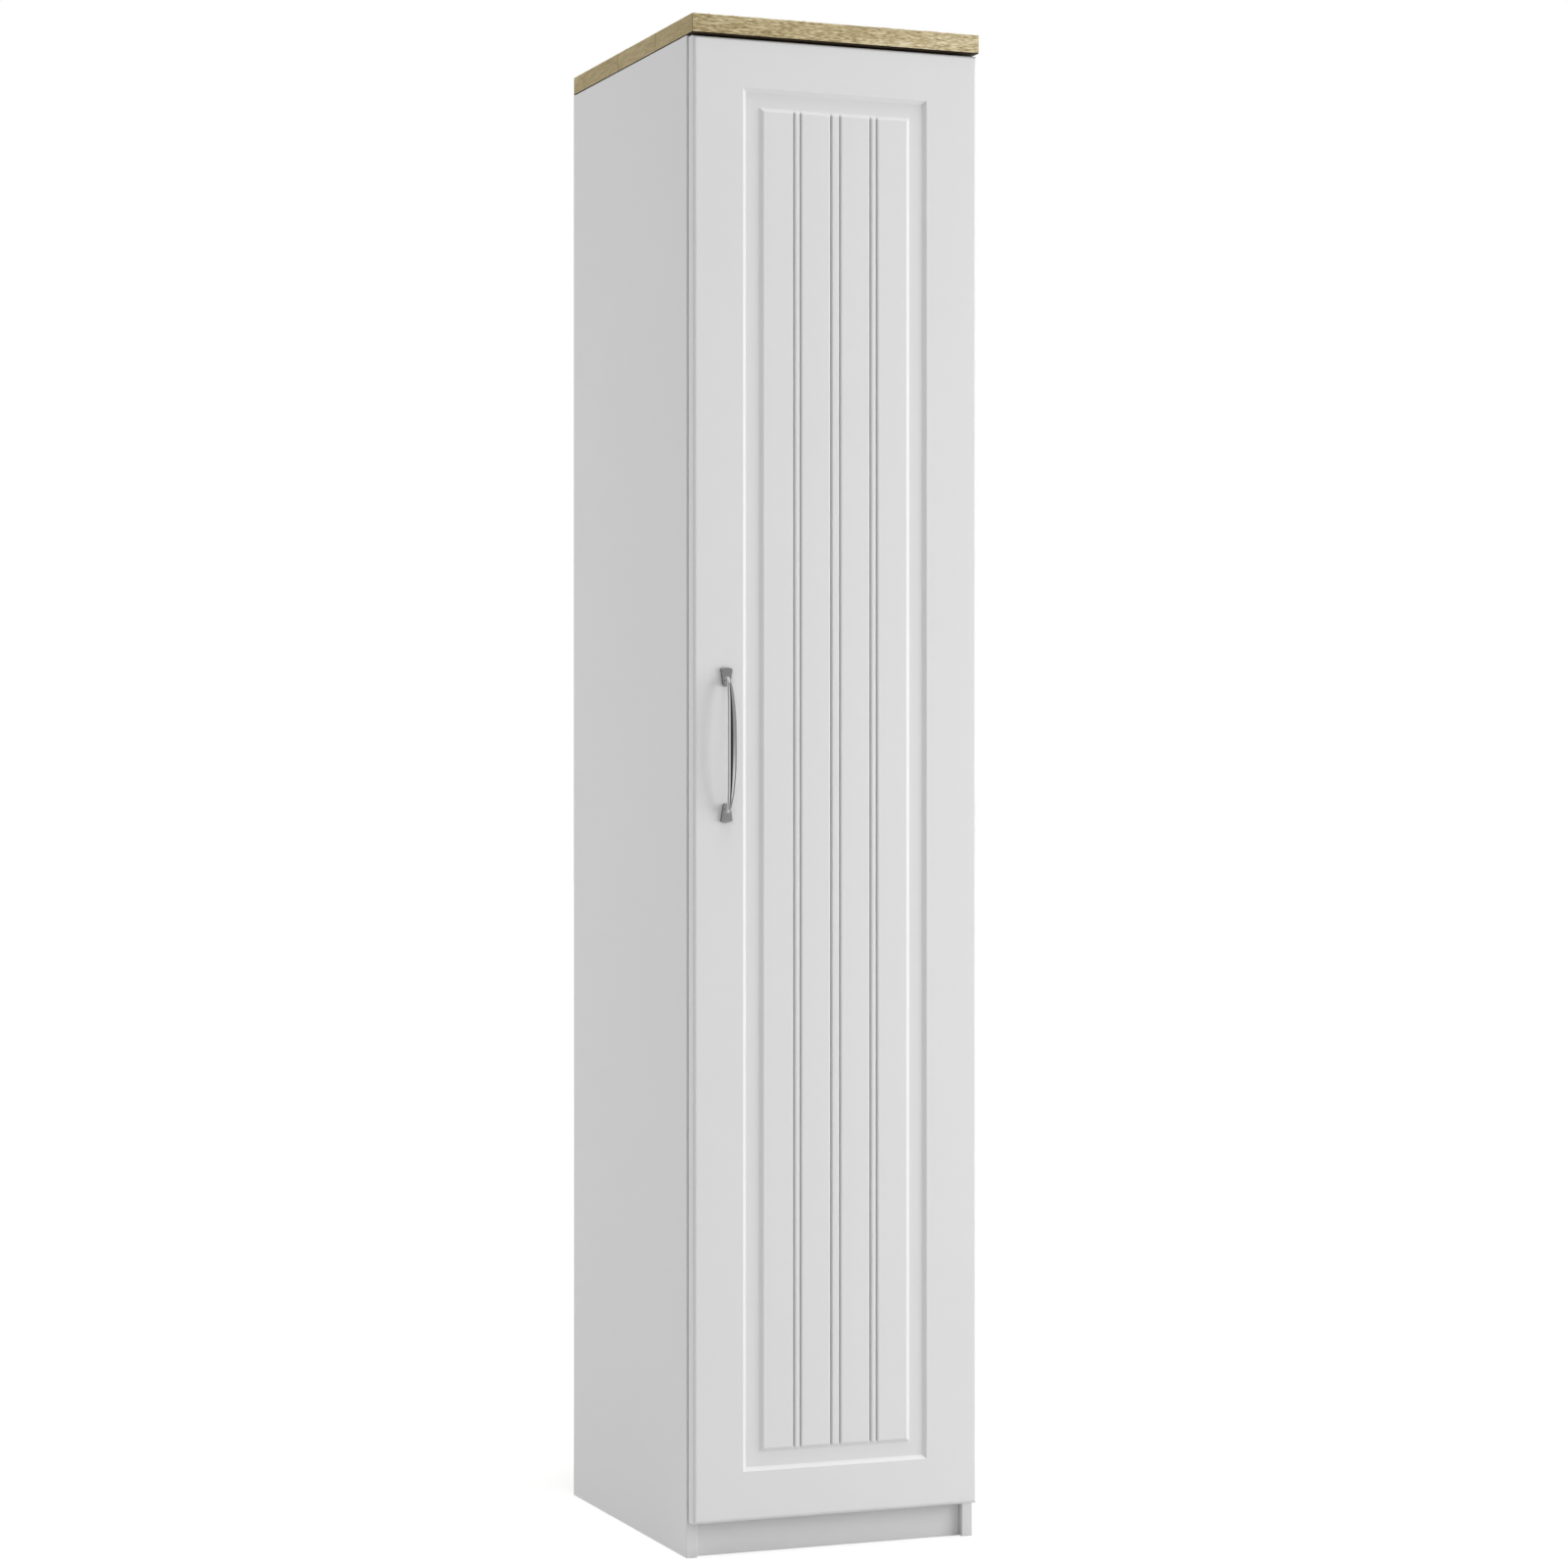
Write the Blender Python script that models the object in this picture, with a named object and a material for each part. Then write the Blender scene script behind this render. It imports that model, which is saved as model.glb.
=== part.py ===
"""Tall single-door wardrobe: a white board carcass under an oak top, with one routed door.

The frame is in metres: X to the right, Y to the back, Z up. The origin lies on the floor, under the
middle of the object's box. The door hangs on the right, on three cup hinges with a fixed pin.
"""

import math

import bmesh
import bpy
from mathutils import Euler, Matrix, Vector

# Overall sizes
WIDTH = 0.400
HEIGHT = 1.970
CARCASS_DEPTH = 0.458

# Boards and how they meet
BOARD = 0.015
TOP_THICKNESS = 0.025
TOP_OVERHANG = 0.022
TOP_ROUNDING = 0.0015
BACK_THICKNESS = 0.003
BACK_INSET = 0.009
BACK_GROOVE = 0.006
KICK_HEIGHT = 0.052
KICK_RECESS = 0.009
SHELF_BELOW_TOP = 0.290
SHELF_SETBACK = 0.012
REAR_RAIL_HEIGHT = 0.080
EDGE_EASE = 0.0006
FIT = 0.0003

# Eccentric connectors in the boards' faces
CAM_RADIUS = 0.0075
CAM_HEIGHT = 0.0115
CAM_REACH = 0.034
CAM_FROM_FRONT = 0.075
CAM_FROM_BACK = 0.090
CAM_SLOT_LENGTH = 0.0095
CAM_SLOT_WIDTH = 0.0018
CAM_SLOT_DEPTH = 0.0025

# Hanging rail and its end sockets
RAIL_RADIUS = 0.0125
RAIL_WALL = 0.0012
RAIL_BELOW_SHELF = 0.050
SOCKET_DEPTH = 0.014
SOCKET_WALL = 0.0026
SOCKET_FLANGE = 0.0025
SOCKET_EAR_RADIUS = 0.0075
SOCKET_SCREW_MARGIN = 0.0076

# Door leaf
DOOR_THICKNESS = 0.018
DOOR_GAP = 0.002
DOOR_REVEAL = 0.002
DOOR_BOTTOM = 0.046
DOOR_TOP_GAP = 0.003
DOOR_FRONT_ROUNDING = 0.005
DOOR_BACK_ROUNDING = 0.0015
BUFFER_RADIUS = 0.0045
BUFFER_TOP_RADIUS = 0.0031
BUFFER_FROM_END = 0.060

# Routed panel of the door
HANDLE_STILE = 0.0679
HINGE_STILE = 0.0721
TOP_RAIL = 0.063
BOTTOM_RAIL = 0.0632
MOULD_DEPTH = 0.0039
MOULD_WALL = 0.0050
MOULD_FLOOR = 0.0184
FIELD_BEVEL = 0.0050
FIELD_DROP = 0.0003
GROOVE_WIDTH = 0.0048
GROOVE_DEPTH = 0.0028
GROOVE_PAIR_PITCH = 0.05315
MIDDLE_PAIR_SPLIT = 0.0124
OUTER_PAIR_SPLIT = 0.0089

# Bow handle
HANDLE_CENTRES = 0.160
HANDLE_OVERHANG = 0.019
HANDLE_HEIGHT = 1.0385
HANDLE_FROM_EDGE = 0.0447
HANDLE_REACH = 0.026
PAD_LENGTH = 0.0245
PAD_WIDTH = 0.016
PAD_NECK_WIDTH = 0.0104
PAD_THICKNESS = 0.004
PAD_EDGE = 0.0024
PAD_CHAMFER = 0.0011
PAD_CROWN = 0.0018
BOW_WIDTH = 0.0125
BOW_END_WIDTH = 0.0050
BOW_DEPTH = 0.0060
BOW_END_DEPTH = 0.0052
BOW_SQUARENESS = 2.3

# Cup hinges
HINGE_COUNT = 3
HINGE_FROM_END = 0.110
PIN_FROM_EDGE = 0.0065
PIN_DEPTH = 0.008
PIN_RADIUS = 0.00125
CUP_RADIUS = 0.0175
CUP_FROM_EDGE = 0.003
CUP_DEPTH = 0.0112
CUP_FLANGE = 0.001
CUP_RIM_INSET = 0.0011
CUP_EAR_RADIUS = 0.0065
CUP_SCREW_MARGIN = 0.005
CUP_SCREW_OFFSET = 0.0095
CUP_FLOOR = 0.0008
EYE_RADIUS = 0.0019
STRAP_THICKNESS = 0.0022
STRAP_WIDTH = 0.0086
STRAP_BEND = 0.004
STRAP_PLAY = 0.0006
ARM_STAND = 0.0107
ARM_SETBACK = 0.010
ARM_LENGTH = 0.050
ARM_WIDTH = 0.0136
ARM_WALL = 0.0015
ARM_DEPTH = 0.0072
PLATE_THICKNESS = 0.002
PLATE_FROM_FRONT = 0.037
PLATE_SCREW_SPREAD = 0.016
PLATE_EAR_RADIUS = 0.007
SPINE_LENGTH = 0.038
CLAMP_FROM_FRONT = 0.050

# Screws
WOOD_SCREW_HEAD = 0.0034
WOOD_SCREW_SHANK = 0.0016
WOOD_SCREW_LENGTH = 0.012
MACHINE_SCREW_HEAD = 0.0038
MACHINE_SCREW_SHANK = 0.0020
PAN_HEAD_HEIGHT = 0.0020
PAN_SHOULDER = 0.0010
PAN_TOP_RADIUS = 0.0027
CLAMP_SCREW_LENGTH = 0.006
HANDLE_SCREW_GRIP = 0.003

# Facets, and how far a cutter runs past what it cuts
ROUND_SIDES = 28
HOLE_SIDES = 16
SCREW_SIDES = 12
CAM_SIDES = 14
BUFFER_SIDES = 14
TOP_STEPS = 3
DOOR_FRONT_STEPS = 5
DOOR_BACK_STEPS = 3
PAD_STEPS = 8
EYE_STEPS = 12
BEND_STEPS = 6
BOW_STATIONS = 29
BOW_SIDES = 12
MERGE = 0.000001
SMOOTH_ANGLE = math.radians(35)
FLAT_ANGLE = math.radians(0.5)
ROUND_PROFILE = 0.5
CUT_PAST = 0.015
GROOVE_CUT_PAST = 0.0007

# Planes and axes that the pieces share
HALF = WIDTH / 2
INNER = HALF - BOARD
FRONT = (DOOR_GAP + DOOR_THICKNESS + HANDLE_REACH - CARCASS_DEPTH) / 2
BACK = FRONT + CARCASS_DEPTH
CARCASS_TOP = HEIGHT - TOP_THICKNESS
PANEL_REAR = BACK - BACK_INSET
PANEL_FRONT = PANEL_REAR - BACK_THICKNESS
SHELF_TOP = CARCASS_TOP - SHELF_BELOW_TOP
RAIL_Z = SHELF_TOP - BOARD - RAIL_BELOW_SHELF
RAIL_Y = (FRONT + PANEL_FRONT) / 2
SOCKET_RADIUS = RAIL_RADIUS + FIT + SOCKET_WALL
SOCKET_SCREW_SPREAD = SOCKET_RADIUS + SOCKET_SCREW_MARGIN
DOOR_BACK = FRONT - DOOR_GAP
DOOR_FACE = DOOR_BACK - DOOR_THICKNESS
DOOR_EDGE = HALF - DOOR_REVEAL
DOOR_TOP = CARCASS_TOP - DOOR_TOP_GAP
PANEL_LEFT = HANDLE_STILE - DOOR_EDGE
PANEL_RIGHT = DOOR_EDGE - HINGE_STILE
PIN_X = DOOR_EDGE - PIN_FROM_EDGE
PIN_Y = DOOR_BACK - PIN_DEPTH
HANDLE_X = -DOOR_EDGE + HANDLE_FROM_EDGE
HANDLE_HALF = HANDLE_CENTRES / 2 + HANDLE_OVERHANG

# The same planes as seen from a hinge pin
WALL = INNER - PIN_X
WALL_FRONT = FRONT - PIN_Y
LEAF_BACK = PIN_DEPTH
CUP_X = PIN_FROM_EDGE - CUP_FROM_EDGE - CUP_RADIUS
CUP_RIM_RADIUS = CUP_RADIUS - CUP_RIM_INSET
CUP_SCREW_SPREAD = CUP_RADIUS + CUP_SCREW_MARGIN
WEB_OUTER = WALL - ARM_STAND
WEB_INNER = WEB_OUTER + STRAP_THICKNESS
PLATE_TOP = WALL - FIT - PLATE_THICKNESS
PLATE_Y = WALL_FRONT + PLATE_FROM_FRONT
CLAMP_Y = WALL_FRONT + CLAMP_FROM_FRONT
FLANGE_TOP = LEAF_BACK + FIT + CUP_FLANGE
PIN_HALF = math.sqrt((CUP_RADIUS - FIT) ** 2 - (PIN_RADIUS - CUP_X) ** 2) - FIT

# Turns that point a piece's own +Z along an axis of the wardrobe
FACING_UP = (0, 0, 0)
FACING_DOWN = (math.pi, 0, 0)
FACING_RIGHT = (0, math.pi / 2, 0)
FACING_LEFT = (0, -math.pi / 2, 0)
FACING_BACK = (-math.pi / 2, 0, 0)


def finish(name, colour, roughness, metallic=0.0):
    """A plain surface for the pieces of one kind."""
    material = bpy.data.materials.new(name)
    material.use_nodes = True
    shader = material.node_tree.nodes["Principled BSDF"]
    shader.inputs["Base Color"].default_value = (*colour, 1)
    shader.inputs["Roughness"].default_value = roughness
    shader.inputs["Metallic"].default_value = metallic
    return material


def mesh_of(form, name):
    """Closes a form's work: faces pointing out, round stretches smooth."""
    bmesh.ops.recalc_face_normals(form, faces=form.faces)
    mesh = bpy.data.meshes.new(name)
    form.to_mesh(mesh)
    form.free()
    mesh.shade_smooth()
    mesh.set_sharp_from_angle(angle=SMOOTH_ANGLE)
    return mesh


def place(name, mesh, material, location=(0, 0, 0), rotation=(0, 0, 0), carrier=None):
    """One named piece, which its carrier, where it has one, takes along."""
    piece = bpy.data.objects.new(name, mesh)
    if not mesh.materials:
        mesh.materials.append(material)
    piece.location = location
    piece.rotation_euler = rotation
    bpy.context.scene.collection.objects.link(piece)
    if carrier:
        piece.parent = carrier
        piece.matrix_parent_inverse = Matrix.Translation(carrier.location).inverted()


def shaped(name, body, joined=(), removed=()):
    """The body with the joined forms fused on, and then the removed forms cut away, as one mesh."""
    helpers = [bpy.data.objects.new(name, mesh_of(body, name))]
    for operation, forms in (("UNION", joined), ("DIFFERENCE", removed)):
        for form in forms:
            helper = bpy.data.objects.new(name, mesh_of(form, name))
            helper.hide_render = True
            helper.display_type = "WIRE"
            helpers.append(helper)
            step = helpers[0].modifiers.new(operation.lower(), "BOOLEAN")
            step.operation = operation
            step.solver = "EXACT"
            step.object = helper
    for helper in helpers:
        bpy.context.scene.collection.objects.link(helper)
    graph = bpy.context.evaluated_depsgraph_get()
    mesh = bpy.data.meshes.new_from_object(helpers[0].evaluated_get(graph))
    mesh.name = name
    for helper in helpers:
        bpy.data.objects.remove(helper, do_unlink=True)
    mesh.shade_smooth()
    mesh.set_sharp_from_angle(angle=SMOOTH_ANGLE)
    return mesh


def box(low, high):
    form = bmesh.new()
    low, high = Vector(low), Vector(high)
    matrix = Matrix.Translation((low + high) / 2) @ Matrix.Diagonal((*(high - low), 1))
    bmesh.ops.create_cube(form, size=1, matrix=matrix)
    return form


def eased_box(low, high, ease, segments=1):
    """A board with its edges rounded over."""
    form = box(low, high)
    bmesh.ops.bevel(
        form, geom=form.edges[:], offset=ease, segments=segments, profile=ROUND_PROFILE, affect="EDGES"
    )
    return form


def add_cylinder(form, radius, start, end, sides=HOLE_SIDES):
    start, end = Vector(start), Vector(end)
    turn = Vector((0, 0, 1)).rotation_difference(end - start).to_matrix().to_4x4()
    bmesh.ops.create_cone(
        form,
        cap_ends=True,
        segments=sides,
        radius1=radius,
        radius2=radius,
        depth=(end - start).length,
        matrix=Matrix.Translation((start + end) / 2) @ turn,
    )


def cylinder(radius, start, end, sides=HOLE_SIDES):
    form = bmesh.new()
    add_cylinder(form, radius, start, end, sides)
    return form


def add_loft(form, rings):
    """Joins rings of equally many points into one closed skin with flat ends."""
    loops = [[form.verts.new(point) for point in ring] for ring in rings]
    count = len(loops[0])
    for lower, upper in zip(loops, loops[1:]):
        for i in range(count):
            j = (i + 1) % count
            form.faces.new((lower[i], lower[j], upper[j], upper[i]))
    form.faces.new(loops[0][::-1])
    form.faces.new(loops[-1])


def loft(rings):
    form = bmesh.new()
    add_loft(form, rings)
    return form


def turned(profile, sides):
    """A profile of (radius, height) points, from axis to axis, turned round Z."""
    form = bmesh.new()
    points = [form.verts.new((radius, 0, height)) for radius, height in profile]
    edges = [form.edges.new(pair) for pair in zip(points, points[1:])]
    bmesh.ops.spin(
        form, geom=points + edges, cent=(0, 0, 0), axis=(0, 0, 1), angle=math.tau, steps=sides
    )
    bmesh.ops.remove_doubles(form, verts=form.verts, dist=MERGE)
    return form


def arc(centre, radius, start, end, steps):
    """Points on an arc in the plane, both ends included, with the angles in degrees."""
    angles = [math.radians(start + (end - start) * i / steps) for i in range(steps + 1)]
    return [(centre[0] + radius * math.cos(a), centre[1] + radius * math.sin(a)) for a in angles]


def eared_plate(circles, low, high, to_space):
    """The hull of some circles in a plane, as a plate between two levels.

    The function to_space turns a point of the plane and a level into a point in space.
    """
    form = bmesh.new()
    for centre_a, centre_b, radius in circles:
        for a, b in arc((centre_a, centre_b), radius, 0, 360, ROUND_SIDES)[:-1]:
            form.verts.new(to_space(a, b, low))
            form.verts.new(to_space(a, b, high))
    hull = bmesh.ops.convex_hull(form, input=form.verts[:])
    spare = [item for item in hull["geom_interior"] if isinstance(item, bmesh.types.BMVert)]
    bmesh.ops.delete(form, geom=spare, context="VERTS")
    bmesh.ops.dissolve_limit(
        form, angle_limit=FLAT_ANGLE, verts=form.verts[:], edges=form.edges[:]
    )
    return form


def countersunk(grow=0.0):
    """A wood screw under its own top face; grow is the play all round of the hole it goes in."""
    head = WOOD_SCREW_HEAD + grow
    shank = WOOD_SCREW_SHANK + grow
    lift = FIT if grow else 0.0
    cone = WOOD_SCREW_HEAD - WOOD_SCREW_SHANK
    bottom = -WOOD_SCREW_LENGTH - grow
    point = bottom + shank
    return [(0, lift), (head, lift), (head, 0), (shank, -cone), (shank, point), (0, bottom)]


def pan_headed(length):
    """A machine screw whose head sits on Z = 0."""
    head = MACHINE_SCREW_HEAD
    crown = PAN_HEAD_HEIGHT
    shank = MACHINE_SCREW_SHANK
    return [
        (0, crown),
        (PAN_TOP_RADIUS, crown),
        (head, PAN_SHOULDER),
        (head, 0),
        (shank, 0),
        (shank, -length),
        (0, -length),
    ]


def screw_hole(facing, seat):
    """A bore for a wood screw whose head faces this way, with its top at the seat."""
    form = turned(countersunk(FIT), SCREW_SIDES)
    turn = Euler(facing).to_matrix().to_4x4()
    bmesh.ops.transform(form, matrix=Matrix.Translation(seat) @ turn, verts=form.verts)
    return form


for old in list(bpy.data.objects):
    bpy.data.objects.remove(old, do_unlink=True)

white_board = finish("white_board", (0.80, 0.80, 0.80), 0.45)
white_foil = finish("white_foil", (0.84, 0.84, 0.84), 0.35)
oak_board = finish("oak_board", (0.47, 0.37, 0.22), 0.5)
hardboard = finish("hardboard", (0.78, 0.78, 0.77), 0.55)
chrome = finish("chrome", (0.62, 0.62, 0.63), 0.12, 1.0)
nickelled = finish("nickelled_steel", (0.60, 0.59, 0.57), 0.28, 1.0)
zinc = finish("zinc", (0.50, 0.50, 0.51), 0.38, 1.0)
clear_pad = finish("clear_pad", (0.75, 0.77, 0.78), 0.3)

door_axis = bpy.data.objects.new("door_axis", None)
door_axis.location = (PIN_X, PIN_Y, 0)
bpy.context.scene.collection.objects.link(door_axis)

hinge_low = DOOR_BOTTOM + HINGE_FROM_END
hinge_high = DOOR_TOP - HINGE_FROM_END
hinge_step = (hinge_high - hinge_low) / (HINGE_COUNT - 1)
hinge_heights = [hinge_low + hinge_step * i for i in range(HINGE_COUNT)]
cam_rows = (FRONT + CAM_FROM_FRONT, BACK - CAM_FROM_BACK)


def side_panel(side):
    """One upright, with its bores and the saw groove of the back. The side is -1 or 1."""
    face = side * INNER
    deep_cam = face + side * (CAM_HEIGHT + FIT)
    inside = face - side * CUT_PAST
    low_x, high_x = sorted((face, side * HALF))
    panel = eased_box((low_x, FRONT, 0), (high_x, BACK, CARCASS_TOP - FIT), EDGE_EASE)
    groove_low, groove_high = sorted((inside, face + side * BACK_GROOVE))
    groove = box(
        (groove_low, PANEL_FRONT - FIT, -CUT_PAST), (groove_high, PANEL_REAR + FIT, HEIGHT)
    )
    bores = bmesh.new()
    for y in cam_rows:
        z = CARCASS_TOP - CAM_REACH
        add_cylinder(bores, CAM_RADIUS + FIT, (inside, y, z), (deep_cam, y, z), ROUND_SIDES)
    facing = FACING_LEFT if side > 0 else FACING_RIGHT
    seat_x = face - side * SOCKET_FLANGE
    screws = [
        screw_hole(facing, (seat_x, RAIL_Y, RAIL_Z + spread))
        for spread in (-SOCKET_SCREW_SPREAD, SOCKET_SCREW_SPREAD)
    ]
    if side > 0:
        for height in hinge_heights:
            for spread in (-PLATE_SCREW_SPREAD, PLATE_SCREW_SPREAD):
                seat = (PIN_X + PLATE_TOP, PIN_Y + PLATE_Y, height + spread)
                screws.append(screw_hole(facing, seat))
    return shaped("side_panel", panel, removed=(groove, bores, *screws))


# Carcass boards
place("left_side", side_panel(-1), white_board)
place("right_side", side_panel(1), white_board)

top = eased_box(
    (-HALF, FRONT - TOP_OVERHANG, CARCASS_TOP), (HALF, BACK, HEIGHT), TOP_ROUNDING, TOP_STEPS
)
place("oak_top", mesh_of(top, "oak_top"), oak_board)

span = INNER - FIT
board_rear = PANEL_FRONT - FIT


def cam_board(name, front, underside):
    """A level board between the sides, bored from below for its four connectors."""
    board = eased_box((-span, front, underside), (span, board_rear, underside + BOARD), EDGE_EASE)
    bores = bmesh.new()
    for x in (CAM_REACH - span, span - CAM_REACH):
        for y in cam_rows:
            depth = underside + CAM_HEIGHT + FIT
            add_cylinder(
                bores, CAM_RADIUS + FIT, (x, y, underside - CUT_PAST), (x, y, depth), ROUND_SIDES
            )
    place(name, shaped(name, board, removed=(bores,)), white_board)


cam_board("base_board", FRONT, KICK_HEIGHT)
cam_board("hat_shelf", FRONT + SHELF_SETBACK, SHELF_TOP - BOARD)

kick_front = FRONT + KICK_RECESS
kickboard = eased_box((-span, kick_front, 0), (span, kick_front + BOARD, KICK_HEIGHT - FIT), EDGE_EASE)
place("kickboard", mesh_of(kickboard, "kickboard"), white_board)

rail_top = CARCASS_TOP - FIT
rear_rail = eased_box(
    (-span, board_rear - BOARD, rail_top - REAR_RAIL_HEIGHT), (span, board_rear, rail_top), EDGE_EASE
)
place("rear_rail", mesh_of(rear_rail, "rear_rail"), white_board)

back_span = INNER + BACK_GROOVE - FIT
back = box((-back_span, PANEL_FRONT, KICK_HEIGHT), (back_span, PANEL_REAR, rail_top))
place("back_panel", mesh_of(back, "back_panel"), hardboard)


def cam_mesh():
    """A round eccentric connector with a cross slot; its visible face is at Z = 0."""
    body = cylinder(CAM_RADIUS, (0, 0, -CAM_HEIGHT), (0, 0, 0), CAM_SIDES)
    long, wide, deep = CAM_SLOT_LENGTH / 2, CAM_SLOT_WIDTH / 2, CAM_SLOT_DEPTH
    slots = [
        box((-long, -wide, -deep), (long, wide, deep)),
        box((-wide, -long, -deep), (wide, long, deep)),
    ]
    return shaped("cam", body, removed=slots)


# Connectors: four under the base, four under the shelf and two at the head of each side
cam = cam_mesh()
for row, y in zip(("front", "rear"), cam_rows):
    for side, sign, facing in (("left", -1, FACING_RIGHT), ("right", 1, FACING_LEFT)):
        x = sign * (span - CAM_REACH)
        place(f"base_cam_{side}_{row}", cam, zinc, (x, y, KICK_HEIGHT), FACING_DOWN)
        place(f"shelf_cam_{side}_{row}", cam, zinc, (x, y, SHELF_TOP - BOARD), FACING_DOWN)
        head = (sign * INNER, y, CARCASS_TOP - CAM_REACH)
        place(f"top_cam_{side}_{row}", cam, zinc, head, facing)

wood_screw = mesh_of(turned(countersunk(), SCREW_SIDES), "wood_screw")


def rail_socket_mesh():
    """A flanged cup for the rail's end, ears along X; its flange lies on Z = 0 and it opens along +Z."""
    flange = eared_plate(
        [
            (0, 0, SOCKET_RADIUS),
            (-SOCKET_SCREW_SPREAD, 0, SOCKET_EAR_RADIUS),
            (SOCKET_SCREW_SPREAD, 0, SOCKET_EAR_RADIUS),
        ],
        FIT,
        SOCKET_FLANGE,
        lambda a, b, level: (a, b, level),
    )
    boss = cylinder(SOCKET_RADIUS, (0, 0, SOCKET_FLANGE / 2), (0, 0, SOCKET_DEPTH), ROUND_SIDES)
    bore = cylinder(RAIL_RADIUS + FIT, (0, 0, SOCKET_FLANGE), (0, 0, SOCKET_DEPTH + CUT_PAST), ROUND_SIDES)
    holes = [
        screw_hole(FACING_UP, (spread, 0, SOCKET_FLANGE))
        for spread in (-SOCKET_SCREW_SPREAD, SOCKET_SCREW_SPREAD)
    ]
    return shaped("rail_socket", flange, joined=(boss,), removed=(bore, *holes))


# Hanging rail: a tube let into a socket at each end
socket = rail_socket_mesh()
rail_end = INNER - SOCKET_FLANGE - FIT
tube = cylinder(RAIL_RADIUS, (-rail_end, RAIL_Y, RAIL_Z), (rail_end, RAIL_Y, RAIL_Z), ROUND_SIDES)
bore_end = rail_end + CUT_PAST
tube_bore = cylinder(
    RAIL_RADIUS - RAIL_WALL, (-bore_end, RAIL_Y, RAIL_Z), (bore_end, RAIL_Y, RAIL_Z), ROUND_SIDES
)
place("hanging_rail", shaped("hanging_rail", tube, removed=(tube_bore,)), chrome)
for side, sign, facing in (("left", -1, FACING_RIGHT), ("right", 1, FACING_LEFT)):
    place(f"rail_socket_{side}", socket, chrome, (sign * INNER, RAIL_Y, RAIL_Z), facing)
    for level, spread in (("lower", -SOCKET_SCREW_SPREAD), ("upper", SOCKET_SCREW_SPREAD)):
        seat = (sign * (INNER - SOCKET_FLANGE), RAIL_Y, RAIL_Z + spread)
        place(f"rail_screw_{side}_{level}", wood_screw, zinc, seat, facing)


def panel_ring(inset, depth):
    """A rectangle on the door face, inset from the edge of the routed panel."""
    left, right = PANEL_LEFT + inset, PANEL_RIGHT - inset
    low = DOOR_BOTTOM + BOTTOM_RAIL + inset
    high = DOOR_TOP - TOP_RAIL - inset
    y = DOOR_FACE + depth
    return [(left, y, low), (right, y, low), (right, y, high), (left, y, high)]


def door_blank():
    """The plain leaf, with its front edges rounded wide and its back edges rounded a little."""
    form = box((-DOOR_EDGE, DOOR_FACE, DOOR_BOTTOM), (DOOR_EDGE, DOOR_BACK, DOOR_TOP))
    for plane, rounding, segments in (
        (DOOR_FACE, DOOR_FRONT_ROUNDING, DOOR_FRONT_STEPS),
        (DOOR_BACK, DOOR_BACK_ROUNDING, DOOR_BACK_STEPS),
    ):
        rim = [e for e in form.edges if all(abs(v.co.y - plane) < MERGE for v in e.verts)]
        bmesh.ops.bevel(
            form, geom=rim, offset=rounding, segments=segments, profile=ROUND_PROFILE, affect="EDGES"
        )
    return form


def door_mesh():
    """The leaf: a sunk moulding round a raised field, with three pairs of V grooves down it."""
    field_foot = MOULD_WALL + MOULD_FLOOR
    sunk = loft(
        [
            panel_ring(0, -MOULD_DEPTH),
            panel_ring(0, 0),
            panel_ring(MOULD_WALL, MOULD_DEPTH),
            panel_ring(field_foot, MOULD_DEPTH),
            panel_ring(field_foot + FIELD_BEVEL, FIELD_DROP),
        ]
    )
    grooves = bmesh.new()
    half_width = GROOVE_WIDTH / 2 * (1 + GROOVE_CUT_PAST / GROOVE_DEPTH)
    low = DOOR_BOTTOM + BOTTOM_RAIL + field_foot
    high = DOOR_TOP - TOP_RAIL - field_foot
    panel_middle = (PANEL_LEFT + PANEL_RIGHT) / 2
    for offset, split in (
        (-GROOVE_PAIR_PITCH, OUTER_PAIR_SPLIT),
        (0, MIDDLE_PAIR_SPLIT),
        (GROOVE_PAIR_PITCH, OUTER_PAIR_SPLIT),
    ):
        centre = panel_middle + offset
        for x in (centre - split / 2, centre + split / 2):
            section = [
                (x - half_width, DOOR_FACE + FIELD_DROP - GROOVE_CUT_PAST),
                (x, DOOR_FACE + FIELD_DROP + GROOVE_DEPTH),
                (x + half_width, DOOR_FACE + FIELD_DROP - GROOVE_CUT_PAST),
            ]
            add_loft(grooves, [[(a, b, z) for a, b in section] for z in (low, high)])
    bores = bmesh.new()
    cup_x = PIN_X + CUP_X
    bore_floor = DOOR_BACK - CUP_DEPTH - FIT
    behind = DOOR_BACK + CUT_PAST
    screws = []
    for z in hinge_heights:
        add_cylinder(bores, CUP_RADIUS, (cup_x, bore_floor, z), (cup_x, behind, z), ROUND_SIDES)
        for spread in (-CUP_SCREW_SPREAD, CUP_SCREW_SPREAD):
            seat = (cup_x - CUP_SCREW_OFFSET, PIN_Y + FLANGE_TOP, z + spread)
            screws.append(screw_hole(FACING_BACK, seat))
    for sign in (-1, 1):
        z = HANDLE_HEIGHT + sign * HANDLE_CENTRES / 2
        add_cylinder(
            bores, MACHINE_SCREW_SHANK + FIT, (HANDLE_X, DOOR_FACE - CUT_PAST, z), (HANDLE_X, behind, z)
        )
    return shaped("door", door_blank(), removed=(sunk, grooves, bores, *screws))


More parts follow.
